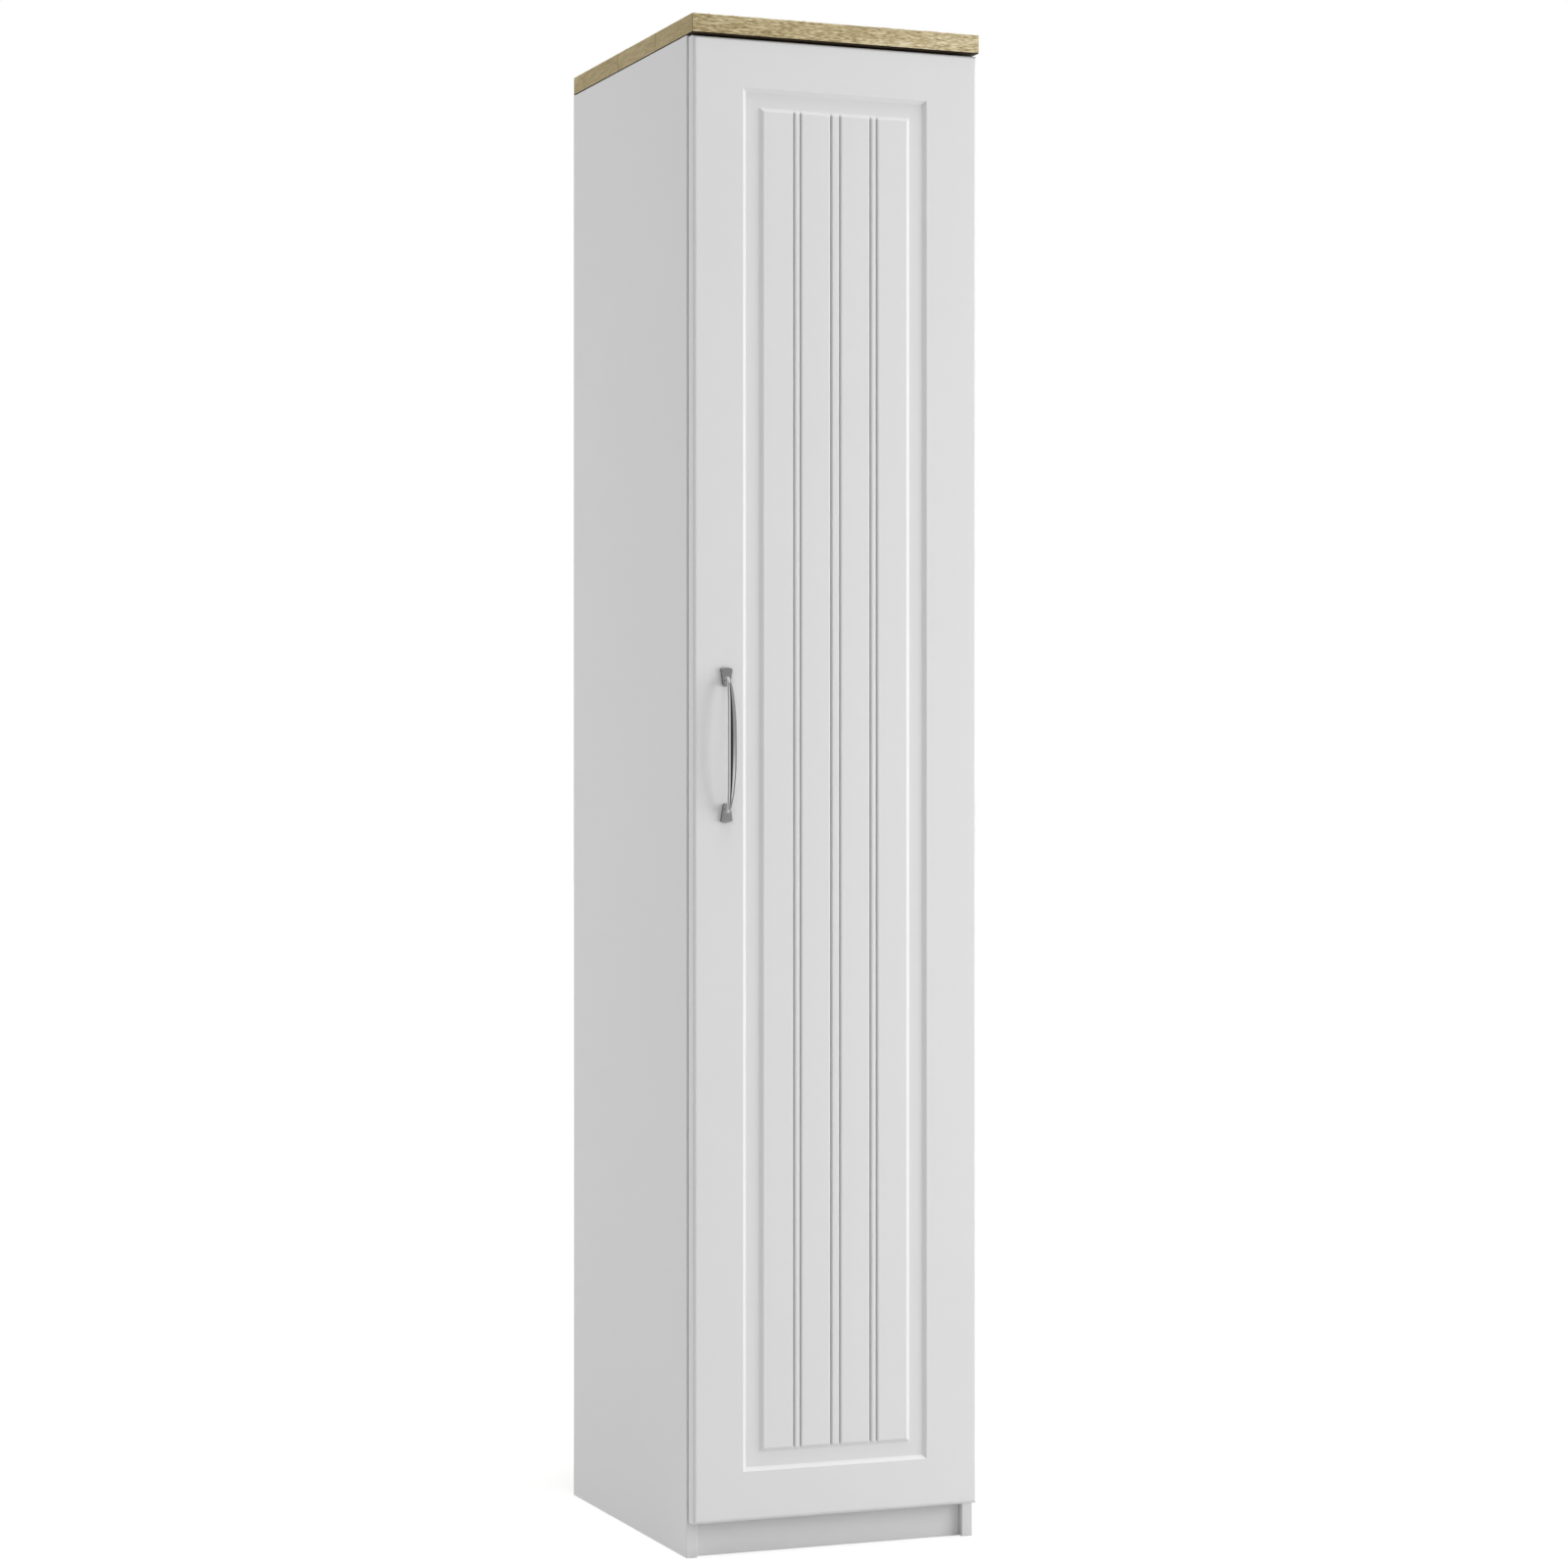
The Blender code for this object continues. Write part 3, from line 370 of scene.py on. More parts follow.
def oak():
    """Oak along X: long streaks and short pale and dark dashes, with a tone and a shift for each stave.

    The two ends have a calmer band, with its grain along Y and a dark joint at the corners. The tone is
    painted paler towards the right, as painted light; the upper round edges are painted pale in broken
    places, as a painted highlight. The underside is painted dark brown and its lower round edge near black,
    as painted shade.
    """
    material, tree, shader, place = new_material("oak")

    def either_way(axis, least):
        """1 where the face turns along the axis, one way or the other."""
        return maths(tree, "MAXIMUM", facing_mask(tree, axis, 1, least), facing_mask(tree, axis, -1, least))

    spot = wire(tree, "ShaderNodeSeparateXYZ", {0: place}).outputs
    ends = either_way("X", END_FACING)
    stave = maths(tree, "DIVIDE", maths(tree, "SUBTRACT", spot["Y"], STAVE_SEAM), STAVE_WIDTH)
    number = maths(tree, "FLOOR", stave)
    own = wire(tree, "ShaderNodeTexWhiteNoise", {"W": number}, noise_dimensions="1D").outputs["Value"]
    shift = wire(tree, "ShaderNodeCombineXYZ", {"X": own, "Z": own}).outputs[0]
    turned = wire(tree, "ShaderNodeCombineXYZ", {"X": spot["Y"], "Y": spot["X"], "Z": spot["Z"]}).outputs[0]
    lay = wire(tree, "ShaderNodeMix", {"Factor": ends, 4: place, 5: turned}, data_type="VECTOR").outputs[1]
    moved = wire(tree, "ShaderNodeVectorMath", {0: lay, 1: shift}).outputs[0]

    def grain(waves, detail=2.0):
        """Noise drawn out along the stave, with so many waves per metre on each axis."""
        drawn = wire(tree, "ShaderNodeMapping", {"Vector": moved, "Scale": waves}).outputs[0]
        return noise(tree, drawn, 1.0, detail)

    figure = grain(FIGURE_WAVES, detail=3.0)
    streaks = grain(STREAK_WAVES, detail=3.0)
    dashes = grain(DASH_WAVES)
    fibres = grain(OAK_FIBRE_WAVES)
    # Painted light: paler towards the right
    tone = maths(tree, "MULTIPLY_ADD", spot["X"], PAINTED_LIGHT_PER_METRE, maths(tree, "MULTIPLY", own, STAVE_SHARE))
    tone = maths(tree, "MULTIPLY_ADD", figure, FIGURE_SHARE, tone)
    tone = maths(tree, "MULTIPLY_ADD", streaks, STREAK_SHARE, tone)
    strength = maths(tree, "MULTIPLY_ADD", ends, END_DASH_SHARE - DASH_SHARE, DASH_SHARE)
    tone = maths(tree, "MULTIPLY_ADD", maths(tree, "SUBTRACT", dashes, NOISE_MIDDLE), strength, tone)
    tone = maths(tree, "MULTIPLY_ADD", fibres, OAK_FIBRE_SHARE, tone)
    tone = maths(tree, "MULTIPLY_ADD", tone, TONE_SCALE, TONE_BASE)
    ramp = wire(tree, "ShaderNodeValToRGB", {"Fac": tone})
    stops = ramp.color_ramp.elements
    stops[0].position, stops[0].color = OAK_STOPS[0], opaque(OAK_DARK)
    stops[1].position, stops[1].color = OAK_STOPS[2], opaque(OAK_LIGHT)
    stops.new(OAK_STOPS[1]).color = opaque(OAK_MIDDLE)
    nearness = maths(tree, "PINGPONG", stave, 0.5)
    on_seam = maths(tree, "LESS_THAN", nearness, SEAM_HALF_WIDTH / STAVE_WIDTH)
    unbroken = maths(tree, "GREATER_THAN", noise(tree, place, GAPS_PER_METRE), GAP_BELOW)
    unbroken = maths(tree, "MULTIPLY", unbroken, maths(tree, "LESS_THAN", spot["Y"], LAST_SEAM))
    seam = maths(tree, "MULTIPLY", on_seam, unbroken)
    corner = maths(tree, "MULTIPLY", ends, either_way("Y", ROUND_EDGE))
    joint = maths(tree, "MULTIPLY", maths(tree, "MAXIMUM", seam, corner), SEAM_STRENGTH)
    colour = mixed(tree, joint, ramp.outputs["Color"], opaque(OAK_DARK))
    # Painted highlight: the upper round edge pale in broken patches
    upper, level = facing_mask(tree, "Z", 1, ROUND_EDGE), facing_mask(tree, "Z", 1, FLAT_FACING)
    rim = maths(tree, "SUBTRACT", upper, level)
    highlight_patches = maths(tree, "GREATER_THAN", grain(EDGE_HIGHLIGHT_WAVES), EDGE_HIGHLIGHT_ABOVE)
    colour = mixed(tree, maths(tree, "MULTIPLY", rim, highlight_patches), colour, opaque(PAINTED_EDGE_HIGHLIGHT))
    # Painted shade: the lower round edge near black, the underside dark brown
    colour = mixed(tree, facing_mask(tree, "Z", -1, ROUND_EDGE), colour, opaque(PAINTED_SHADOW_LINE))
    colour = mixed(tree, facing_mask(tree, "Z", -1, FLAT_FACING), colour, opaque(UNDERSIDE_PAINTED_SHADE))
    rough = maths(tree, "MULTIPLY_ADD", dashes, -DASH_GLOSS, OAK_ROUGHNESS)
    connect(tree, shader, dashes, depth=0.0002, base_color=colour, roughness=rough)
    shader.inputs["Specular IOR Level"].default_value = OAK_SPECULAR
    return material


def dress(piece, material, body, slot, *nodes):
    """The finish of a new piece, the body that carries it and the CAD nodes that it stands for."""
    piece.data.materials.clear()
    piece.data.materials.append(material)
    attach(piece, body)
    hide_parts(*nodes)


oak_board = rounded_block("oak_board", *corners("oak_top"), TOP_ROUNDING, TOP_STEPS)
even_shading(oak_board)
dress(oak_board, oak(), "carcass", "oak", "oak_top")

# Connectors: twelve zinc eccentrics let into the boards, four under the base, four under the shelf and two
# at the head of each side. Each is cast with a cross slot that draws the joint tight.
CAM_SLOT = (0.00475, 0.0009, 0.0025)
CAM_CHAMFER = 0.0004
SLOT_TAPER = 0.86
ZINC = (0.50, 0.51, 0.53)
RIGHT = (1, 0, 0)
LEFT = (-1, 0, 0)
DOWN = (0, 0, -1)


def bare_metal(name, colour, depth, stretch=(1.0, 1.0, 1.0), **surface):
    """Metal with a slow mottle and a fine grain, which a stretch draws out into lines."""
    material, tree, shader, place = new_material(name)
    drawn = wire(tree, "ShaderNodeMapping", {"Vector": place, "Scale": stretch}).outputs[0]
    made = varied(tree, drawn, opaque(colour), **surface)
    shader.inputs["Metallic"].default_value = 1.0
    connect(tree, shader, made["Height"], depth, base_color=made["Color"], roughness=made["Roughness"])
    return material


def slot_angles(long, wide):
    """Angles round a cross slot: its arms' corners, the inner corners between them, and those half-way."""
    corner = math.atan2(wide, long)
    eighth = np.array([0, corner / 2, corner, (corner + math.pi / 4) / 2])
    quarter = np.concatenate([eighth, [math.pi / 4], math.pi / 2 - eighth[:0:-1]])
    return np.concatenate([quarter + math.pi / 2 * k for k in range(4)])


def slot_reach(angles, long, wide):
    """How far a cross slot reaches from its middle: the nearer of an arm's end and an arm's flank."""
    turn = np.abs((angles + math.pi / 4) % (math.pi / 2) - math.pi / 4)
    return np.minimum(long / np.cos(turn), wide / np.maximum(np.sin(turn), MERGE))


def slotted(profile, slot):
    """Rings of a turned piece with a cross slot in its end, built along +Z.

    The profile is (radius, height) points from the far end's middle to the near face. The slot is half its
    length, half its width and its depth; its floor is the same cross drawn in by the taper.
    """
    long, wide, deep = slot
    angles = slot_angles(long, wide)
    reach = slot_reach(angles, long, wide)
    face = profile[-1][1]
    radii = [np.full_like(angles, radius) for radius, _ in profile] + [reach, reach * SLOT_TAPER, reach * 0]
    heights = [height for _, height in profile] + [face, face - deep, face - deep]
    radii = np.stack(radii)
    heights = np.broadcast_to(np.array(heights)[:, None], radii.shape)
    return np.stack([radii * np.cos(angles), radii * np.sin(angles), heights], axis=-1)


def to_place(points, origin, facing):
    """Turns points built along +Z to face along an axis of the wardrobe, and moves them to the origin."""
    axis = np.array(facing, float)
    side = np.roll(axis, 1)
    return points @ np.stack([side, np.cross(axis, side), axis]) + origin


def shown_face(node, facing):
    """The middle of the face that a CAD node shows along an axis."""
    low, high = corners(node)
    return (low + high) / 2 + (high - low) / 2 * np.array(facing)


zinc = bare_metal(
    "zinc", ZINC, depth=0.00004,
    mottle_scale=60.0, mottle_amount=0.25, grain_scale=700.0, roughness=0.36, spread=0.16,
)
for group, facing_left, facing_right in (("base", DOWN, DOWN), ("shelf", DOWN, DOWN), ("top", RIGHT, LEFT)):
    for side, facing in (("left", facing_left), ("right", facing_right)):
        for row in ("front", "rear"):
            node = f"{group}_cam_{side}_{row}"
            low, high = corners(node)
            size = sorted(high - low)
            tall, radius = size[0], size[2] / 2
            profile = [
                (0, -tall),
                (radius - CAM_CHAMFER, -tall),
                (radius, CAM_CHAMFER - tall),
                (radius, -CAM_CHAMFER),
                (radius - CAM_CHAMFER, 0),
            ]
            rings = to_place(slotted(profile, CAM_SLOT), shown_face(node, facing), facing)
            dress(skin(f"{node}_casting", rings), zinc, "carcass", "zinc", node)

# Hanging rail: a 25 mm chromed steel tube in two cast sockets, each held to its side by two countersunk
# screws through the ears of its flange.
RAIL_WALL = 0.0012
RAIL_EASE = 0.0003
SOCKET_WALL = 0.0026
SOCKET_FLANGE = 0.0022
SOCKET_EAR_RADIUS = 0.0075
SOCKET_EAR_SPREAD = 0.0230
SOCKET_EASE = 0.0006
RAIL_PLAY = 0.0003
ROUND_COLUMNS = 96
CHROME = (0.66, 0.66, 0.67)
SCREW_SLOT = (0.0021, 0.00045, 0.0012)
SCREW_CROWN = 0.0004
SCREW_SHANK = 0.0016
SCREW_POINT = 0.0016
CROWN_STEPS = 4

circle = np.linspace(0, math.tau, ROUND_COLUMNS, endpoint=False)
compass = np.stack([np.cos(circle), np.sin(circle)], axis=-1)


def ring_at(outline, height):
    """A ring of plan points, lifted to a height."""
    return np.concatenate([outline, np.full((len(outline), 1), height)], axis=1)


def hull_outline(discs):
    """The outline round some discs.

    In each direction d it is the point c + r * d of the disc that reaches furthest.
    """
    centres = np.array([(x, y) for x, y, _ in discs])
    radii = np.array([radius for _, _, radius in discs])
    furthest = np.argmax(compass @ centres.T + radii, axis=1)
    return centres[furthest] + radii[furthest, None] * compass


def eased(radius, height, ease, steps=3):
    """Plan radius and height along the quarter round at the upper rim of a turned piece."""
    turn = np.linspace(0, math.pi / 2, steps + 1)
    return zip(radius - ease + ease * np.cos(turn), height - ease + ease * np.sin(turn))


def rail_tube(radius, half_length):
    """A tube along +Z: its wall's section, with eased rims, turned round the axis."""
    inner = radius - RAIL_WALL
    section = np.array([
        (radius, -half_length + RAIL_EASE),
        (radius, half_length - RAIL_EASE),
        (radius - RAIL_EASE, half_length),
        (inner + RAIL_EASE, half_length),
        (inner, half_length - RAIL_EASE),
        (inner, -half_length + RAIL_EASE),
        (inner + RAIL_EASE, -half_length),
        (radius - RAIL_EASE, -half_length),
    ])
    return np.stack([ring_at(compass * r, height) for r, height in section])


def rail_socket(depth, bore):
    """A flange with two ears along its own X, and a boss on it that is bored for the tube."""
    boss = bore + SOCKET_WALL
    discs = np.array([
        (0, 0, boss), (-SOCKET_EAR_SPREAD, 0, SOCKET_EAR_RADIUS), (SOCKET_EAR_SPREAD, 0, SOCKET_EAR_RADIUS)
    ])
    rings = [ring_at(compass * 0, 0), ring_at(hull_outline(discs), 0)]
    for inset, height in eased(0, SOCKET_FLANGE, SOCKET_EASE):
        rings.append(ring_at(hull_outline(discs + (0, 0, inset)), height))
    rings.append(ring_at(compass * (boss + SOCKET_EASE), SOCKET_FLANGE))
    rings.append(ring_at(compass * boss, SOCKET_FLANGE + SOCKET_EASE))
    rings += [ring_at(compass * r, height) for r, height in eased(boss, depth, SOCKET_EASE)]
    rings.append(ring_at(compass * (bore + SOCKET_EASE), depth))
    rings.append(ring_at(compass * bore, depth - SOCKET_EASE))
    rings += [ring_at(compass * bore, SOCKET_FLANGE), ring_at(compass * 0, SOCKET_FLANGE)]
    return np.stack(rings)


def wood_screw(head, length):
    """A countersunk screw under Z = 0 whose slightly domed head has a cross slot."""
    turn = np.linspace(math.pi / 2, 0, CROWN_STEPS + 1)[:-1]
    dome = [(head * math.sin(t), SCREW_CROWN * math.cos(t)) for t in turn]
    profile = [
        (0, -length),
        (SCREW_SHANK, SCREW_POINT - length),
        (SCREW_SHANK, SCREW_SHANK - head),
        (head, -SCREW_CROWN / 2),
        *dome,
    ]
    return slotted(profile, SCREW_SLOT)


def drive_screw(node, facing, body):
    """Puts a wood screw in the place of a CAD one, with the size that it has there."""
    low, high = corners(node)
    size = sorted(high - low)
    rings = to_place(wood_screw(size[0] / 2, size[2]), shown_face(node, facing), facing)
    dress(skin(f"{node}_cross", rings), zinc, body, "zinc", node)


chrome = bare_metal(
    "chrome", CHROME, depth=0.00001, stretch=(0.05, 1.0, 1.0),
    mottle_scale=25.0, mottle_amount=0.06, grain_scale=500.0, roughness=0.13, spread=0.08,
)
rail_low, rail_high = corners("hanging_rail")
rail_middle = (rail_low + rail_high) / 2
rail_length, rail_width, _ = rail_high - rail_low
rings = to_place(rail_tube(rail_width / 2, rail_length / 2), rail_middle, RIGHT)
tube = skin("rail_tube", rings, looped=True)
dress(tube, chrome, "carcass", "chrome", "hanging_rail")
for side, facing in (("left", RIGHT), ("right", LEFT)):
    node = f"rail_socket_{side}"
    low, high = corners(node)
    depth = high[0] - low[0]
    wall = (low + high) / 2 - (high - low) / 2 * np.array(facing)
    # The ears stand above and below the rail, so the socket's own X is turned to Z
    rings = rail_socket(depth, rail_width / 2 + RAIL_PLAY)[..., [1, 0, 2]] * (1, -1, 1)
    socket = skin(f"{node}_casting", to_place(rings, wall, facing))
    even_shading(socket)
    dress(socket, chrome, "carcass", "chrome", node)
    for level in ("lower", "upper"):
        drive_screw(f"rail_screw_{side}_{level}", facing, "carcass")

# Door: an 18 mm fibreboard leaf, routed on the front and wrapped in satin white foil. A sunk moulding goes
# round a raised field with three pairs of V grooves; three blind bores behind take the hinge cups.
EDGE_ROUNDING = 0.005
BACK_ROUNDING = 0.0015
ROUNDING_STEPS = 8
HANDLE_STILE = 0.0679
HINGE_STILE = 0.0721
TOP_RAIL = 0.063
BOTTOM_RAIL = 0.0632
MOULD_INSETS = (0.0, 0.0050, 0.0234, 0.0284)
MOULD_DEPTHS = (0.0, 0.0039, 0.0039, 0.0003)
GROOVE_WIDTH = 0.0048
GROOVE_DEPTH = 0.0028
GROOVES = (-0.0576, -0.0487, -0.0062, 0.0062, 0.0487, 0.0576)
ROUTER_EASE = 0.0004
EASE_SAMPLES = 9
EASE_LINES = 7
BEVEL_LINES = 9
GROOVE_LINES = 17
FIELD_STEP = 0.15
LINE_DIGITS = 7
CUP_BORE = 0.0175
CUP_PLAY = 0.0003
CUT_PAST = 0.01
FOIL = (0.84, 0.84, 0.84)
# Painted shade: the foil is darkened towards the bottom of each V groove
GROOVE_PAINTED_SHADE = (0.40, 0.40, 0.40)
GROOVE_UNSHADED_SHARE = 0.3
REARWARD = (0, 1, 0)
HINGE_NUMBERS = (1, 2, 3)


def eased_profile(at, places, depths):
    """A section of straight runs, its corners eased by a running mean."""
    around = np.linspace(-ROUTER_EASE, ROUTER_EASE, EASE_SAMPLES)
    return np.interp(at[..., None] + around, places, depths).mean(axis=-1)


def groove_depth(x):
    """The V grooves at x from the panel's middle: deepest at each line, nothing half a width away."""
    half = GROOVE_WIDTH / 2
    cuts = [eased_profile(x, (c - half, c, c + half), (0, GROOVE_DEPTH, 0)) for c in GROOVES]
    return np.max(cuts, axis=0)


def door_front(low, high):
    """Lines and depths of the front, a height field on a grid of lines that follow its edges.

    The depth at a point is the outer quarter round by its distance e from the leaf's edge,
    R - sqrt(R^2 - (R - e)^2), the moulding by its inset in the panel, or a groove, whichever is deepest.
    """
    panel_low = low + (HANDLE_STILE, 0, BOTTOM_RAIL)
    panel_high = high - (HINGE_STILE, 0, TOP_RAIL)
    panel_middle = (panel_low[0] + panel_high[0]) / 2
    rounding = EDGE_ROUNDING * (1 - np.cos(np.linspace(0, math.pi / 2, ROUNDING_STEPS + 1)))
    around = np.linspace(-ROUTER_EASE, ROUTER_EASE, EASE_LINES)
    bevel = np.linspace(MOULD_INSETS[2], MOULD_INSETS[3], BEVEL_LINES)
    insets = np.concatenate([np.add.outer(MOULD_INSETS, around).ravel(), bevel])
    half = GROOVE_WIDTH / 2 + ROUTER_EASE
    across = panel_middle + np.add.outer(GROOVES, np.linspace(-half, half, GROOVE_LINES)).ravel()
    up = np.arange(panel_low[2] + FIELD_STEP, panel_high[2] - FIELD_STEP / 2, FIELD_STEP)

    def lines(axis, extra):
        """The grid's lines along an axis: those of the edges, of the moulding and the extra ones."""
        edge = [low[axis] + rounding, high[axis] - rounding]
        panel = [panel_low[axis] + insets, panel_high[axis] - insets]
        return np.unique(np.concatenate([*edge, *panel, extra]).round(LINE_DIGITS))

    xs, zs = lines(0, across), lines(2, up)
    x, z = np.meshgrid(xs, zs, indexing="ij")
    edge = np.minimum(np.minimum(x - low[0], high[0] - x), np.minimum(z - low[2], high[2] - z))
    drop = EDGE_ROUNDING - np.clip(edge, 0, EDGE_ROUNDING)
    outer = EDGE_ROUNDING - np.sqrt(EDGE_ROUNDING**2 - drop**2)
    inset = np.minimum(
        np.minimum(x - panel_low[0], panel_high[0] - x), np.minimum(z - panel_low[2], panel_high[2] - z)
    )
    mould = eased_profile(inset, MOULD_INSETS, MOULD_DEPTHS)
    in_field = inset > MOULD_INSETS[2]
    grooves = np.where(in_field, MOULD_DEPTHS[3] + groove_depth(x - panel_middle), 0)
    return x, z, np.maximum(outer, np.maximum(mould, grooves))


def door_leaf(low, high):
    """The leaf as one closed mesh: the front's height field, its sides, and a back with small round edges.

    Each square of the front is split along the mitre of its corner. A ring on the way to the back is the
    front's outline held inside the back's narrower rectangle.
    """
    x, z, depth = door_front(low, high)
    front = np.stack([x, low[1] + depth, z], axis=-1)
    index = np.arange(x.size).reshape(x.shape)
    a, b, c, d = index[:-1, :-1], index[1:, :-1], index[1:, 1:], index[:-1, 1:]
    middle = (low + high) / 2
    rising = (x[:-1, :-1] - middle[0]) * (z[:-1, :-1] - middle[2]) > 0
    first = np.where(rising[..., None], np.stack([a, b, c], -1), np.stack([a, b, d], -1))
    second = np.where(rising[..., None], np.stack([a, c, d], -1), np.stack([b, c, d], -1))
    triangles = np.concatenate([first.reshape(-1, 3), second.reshape(-1, 3)])
    outline = np.concatenate([index[:-1, 0], index[-1, :-1], index[:0:-1, -1], index[0, :0:-1]])
    turn = np.linspace(0, math.pi / 2, ROUNDING_STEPS // 2 + 1)
    rings = []
    for inset, level in zip(BACK_ROUNDING * (1 - np.cos(turn)), BACK_ROUNDING * (np.sin(turn) - 1)):
        ring = np.clip(front.reshape(-1, 3)[outline], low + inset, high - inset)
        ring[:, 1] = high[1] + level
        rings.append(ring)
    count = len(outline)
    behind = x.size + np.arange(len(rings) * count).reshape(-1, count)
    stack = np.concatenate([outline[None], behind])
    here, there = stack[:-1], stack[1:]
    sides = np.stack([here, there, np.roll(there, -1, 1), np.roll(here, -1, 1)], axis=-1)
    faces = triangles.tolist() + sides.reshape(-1, 4).tolist() + [stack[-1, ::-1].tolist()]
    return mesh_piece("door_leaf", np.concatenate([front.reshape(-1, 3), *rings]), faces)


def combined(piece, operation, others):
    """Joins other pieces to a piece, or cuts them out of it, for good."""
    for other in others:
        step = piece.modifiers.new(operation.lower(), "BOOLEAN")
        step.operation = operation
        step.solver = "EXACT"
        step.object = other
    graph = bpy.context.evaluated_depsgraph_get()
    mesh = bpy.data.meshes.new_from_object(piece.evaluated_get(graph))
    piece.modifiers.clear()
    piece.data = mesh
    for other in others:
        bpy.data.objects.remove(other)
    smooth(mesh)


def foil():
    """Satin white foil with a slow mottle and a faint orange peel, darkened deep in the V grooves as painted
    shade.
    """
    material, tree, shader, place = new_material("white_foil")
    made = varied(
        tree, place, opaque(FOIL),
        mottle_scale=5.0, mottle_amount=0.02, grain_scale=420.0, roughness=0.40, spread=0.08,
    )
    # Painted shade deep in the V grooves
    deep = wire(tree, "ShaderNodeAttribute", attribute_name="groove").outputs["Fac"]
    colour = mixed(tree, deep, made["Color"], opaque(GROOVE_PAINTED_SHADE))
    connect(tree, shader, made["Height"], depth=0.00003, base_color=colour, roughness=made["Roughness"])
    return material


def mark_groove_shade(piece, low, high):
    """Stores how deep in a V groove each point lies, from 0 in its upper part to 1 at its bottom."""
    # The stored share sets the foil's painted shade
    points = np.empty(3 * len(piece.data.vertices), dtype=np.float32)
    piece.data.vertices.foreach_get("co", points)
    points = points.reshape(-1, 3).astype(float)
    inset = MOULD_INSETS[3] + np.array([HANDLE_STILE, 0, BOTTOM_RAIL])
    outset = MOULD_INSETS[3] + np.array([HINGE_STILE, 0, TOP_RAIL])
    in_field = np.all((points > low + inset)[:, [0, 2]] & (points < high - outset)[:, [0, 2]], axis=1)
    share = (points[:, 1] - low[1] - MOULD_DEPTHS[3]) / GROOVE_DEPTH
    deep = np.clip((share - GROOVE_UNSHADED_SHARE) / (1 - GROOVE_UNSHADED_SHARE), 0, 1)
    on_front = points[:, 1] < low[1] + MOULD_DEPTHS[1]
    marks = piece.data.attributes.new("groove", "FLOAT", "POINT")
    marks.data.foreach_set("value", np.where(in_field & on_front, deep, 0))


leaf = door_leaf(*corners("door"))
bores = []
for number in HINGE_NUMBERS:
    cup_low, cup_high = corners(f"hinge_{number}_cup")
    centre = np.array([cup_high[0] - CUP_BORE + CUP_PLAY, 0, (cup_low[2] + cup_high[2]) / 2])
    levels = (cup_low[1] - CUP_PLAY, cup_high[1] + CUT_PAST)
    ends = np.stack([ring_at(compass * CUP_BORE, level) for level in levels])
    bores.append(skin("cup_bore", to_place(ends, centre, REARWARD)))
combined(leaf, "DIFFERENCE", bores)
mark_groove_shade(leaf, *corners("door"))
even_shading(leaf)
dress(leaf, foil(), "door", "white_foil", "door")

# Door buffers: two small domes of clear soft plastic. Their flat side is stuck to the back of the door,
# where it closes on the left side.
BUFFER_STEPS = 7
DOME_POWER = 0.6
CLEAR = (0.86, 0.88, 0.89)
CLEARNESS = 0.7
CLOUD_DEPTH = 0.00001
PLASTIC_IOR = 1.48
FORWARD = (0, -1, 0)


def dome(radius, height):
    """A flattened dome: the radius times a power of sin(t), at the height times cos(t)."""
    turn = np.linspace(math.pi / 2, 0, BUFFER_STEPS + 1)
    rings = [ring_at(compass * 0, 0)]
    rings += [ring_at(compass * radius * math.sin(t) ** DOME_POWER, height * math.cos(t)) for t in turn]
    return np.stack(rings)


def clear_plastic():
    """Clear soft plastic, a little cloudy."""
    material, tree, shader, place = new_material("clear_pad")
    made = varied(
        tree, place, opaque(CLEAR),
        mottle_scale=300.0, mottle_amount=0.05, grain_scale=2500.0, roughness=0.25, spread=0.1,
    )
    shader.inputs["Transmission Weight"].default_value = CLEARNESS
    shader.inputs["IOR"].default_value = PLASTIC_IOR
    connect(tree, shader, made["Height"], CLOUD_DEPTH, base_color=made["Color"], roughness=made["Roughness"])
    return material


clear_pad = clear_plastic()
for level in ("lower", "upper"):
    node = f"door_buffer_{level}"
    low, high = corners(node)
    size = high - low
    rings = to_place(dome(size[0] / 2, size[1]), shown_face(node, FORWARD), REARWARD)
    dress(skin(f"{node}_dome", rings), clear_pad, "door", "clear_pad", node)

# Handle: a cast and chromed bow. Two fan-shaped feet lie on the door, and an oval grip arches between them;
# two machine screws hold it from behind.
PAD_LENGTH = 0.0245
PAD_WIDTH = 0.016
PAD_NECK_WIDTH = 0.0104
PAD_THICKNESS = 0.004
PAD_EDGE = 0.0024
PAD_CHAMFER = 0.0011
PAD_CROWN = 0.0018
BOW_WIDTH = 0.0125
BOW_END_WIDTH = 0.0050
BOW_DEPTH = 0.0060
BOW_END_DEPTH = 0.0052
BOW_SQUARENESS = 2.3
BOW_STATIONS = 97
BOW_SIDES = 32
PAD_STEPS = 16
SHOULDER_STEPS = 4
HANDLE_LIFT = 0.0003
HANDLE_CHROME = (0.62, 0.62, 0.63)
# A band of the feet's edge next to the door is painted dark as painted shade, and made rougher
PAINTED_EDGE_SHADE = (0.10, 0.10, 0.10)
PAINTED_SHADE_HEIGHT = 0.0033
SHADED_EDGE_ROUGHER = 0.35
PAN_SLOT = (0.0023, 0.0005, 0.0013)
PAN_HEIGHT = 0.0020
PAN_SHOULDER = 0.0010
PAN_TOP_RADIUS = 0.0027
PAN_SHANK = 0.0020


def arc(centre, radius, start, end, steps):
    """Points on an arc in the plane, from one angle to the other."""
    turn = np.linspace(start, end, steps + 1)
    return np.array(centre) + radius * np.stack([np.cos(turn), np.sin(turn)], axis=-1)


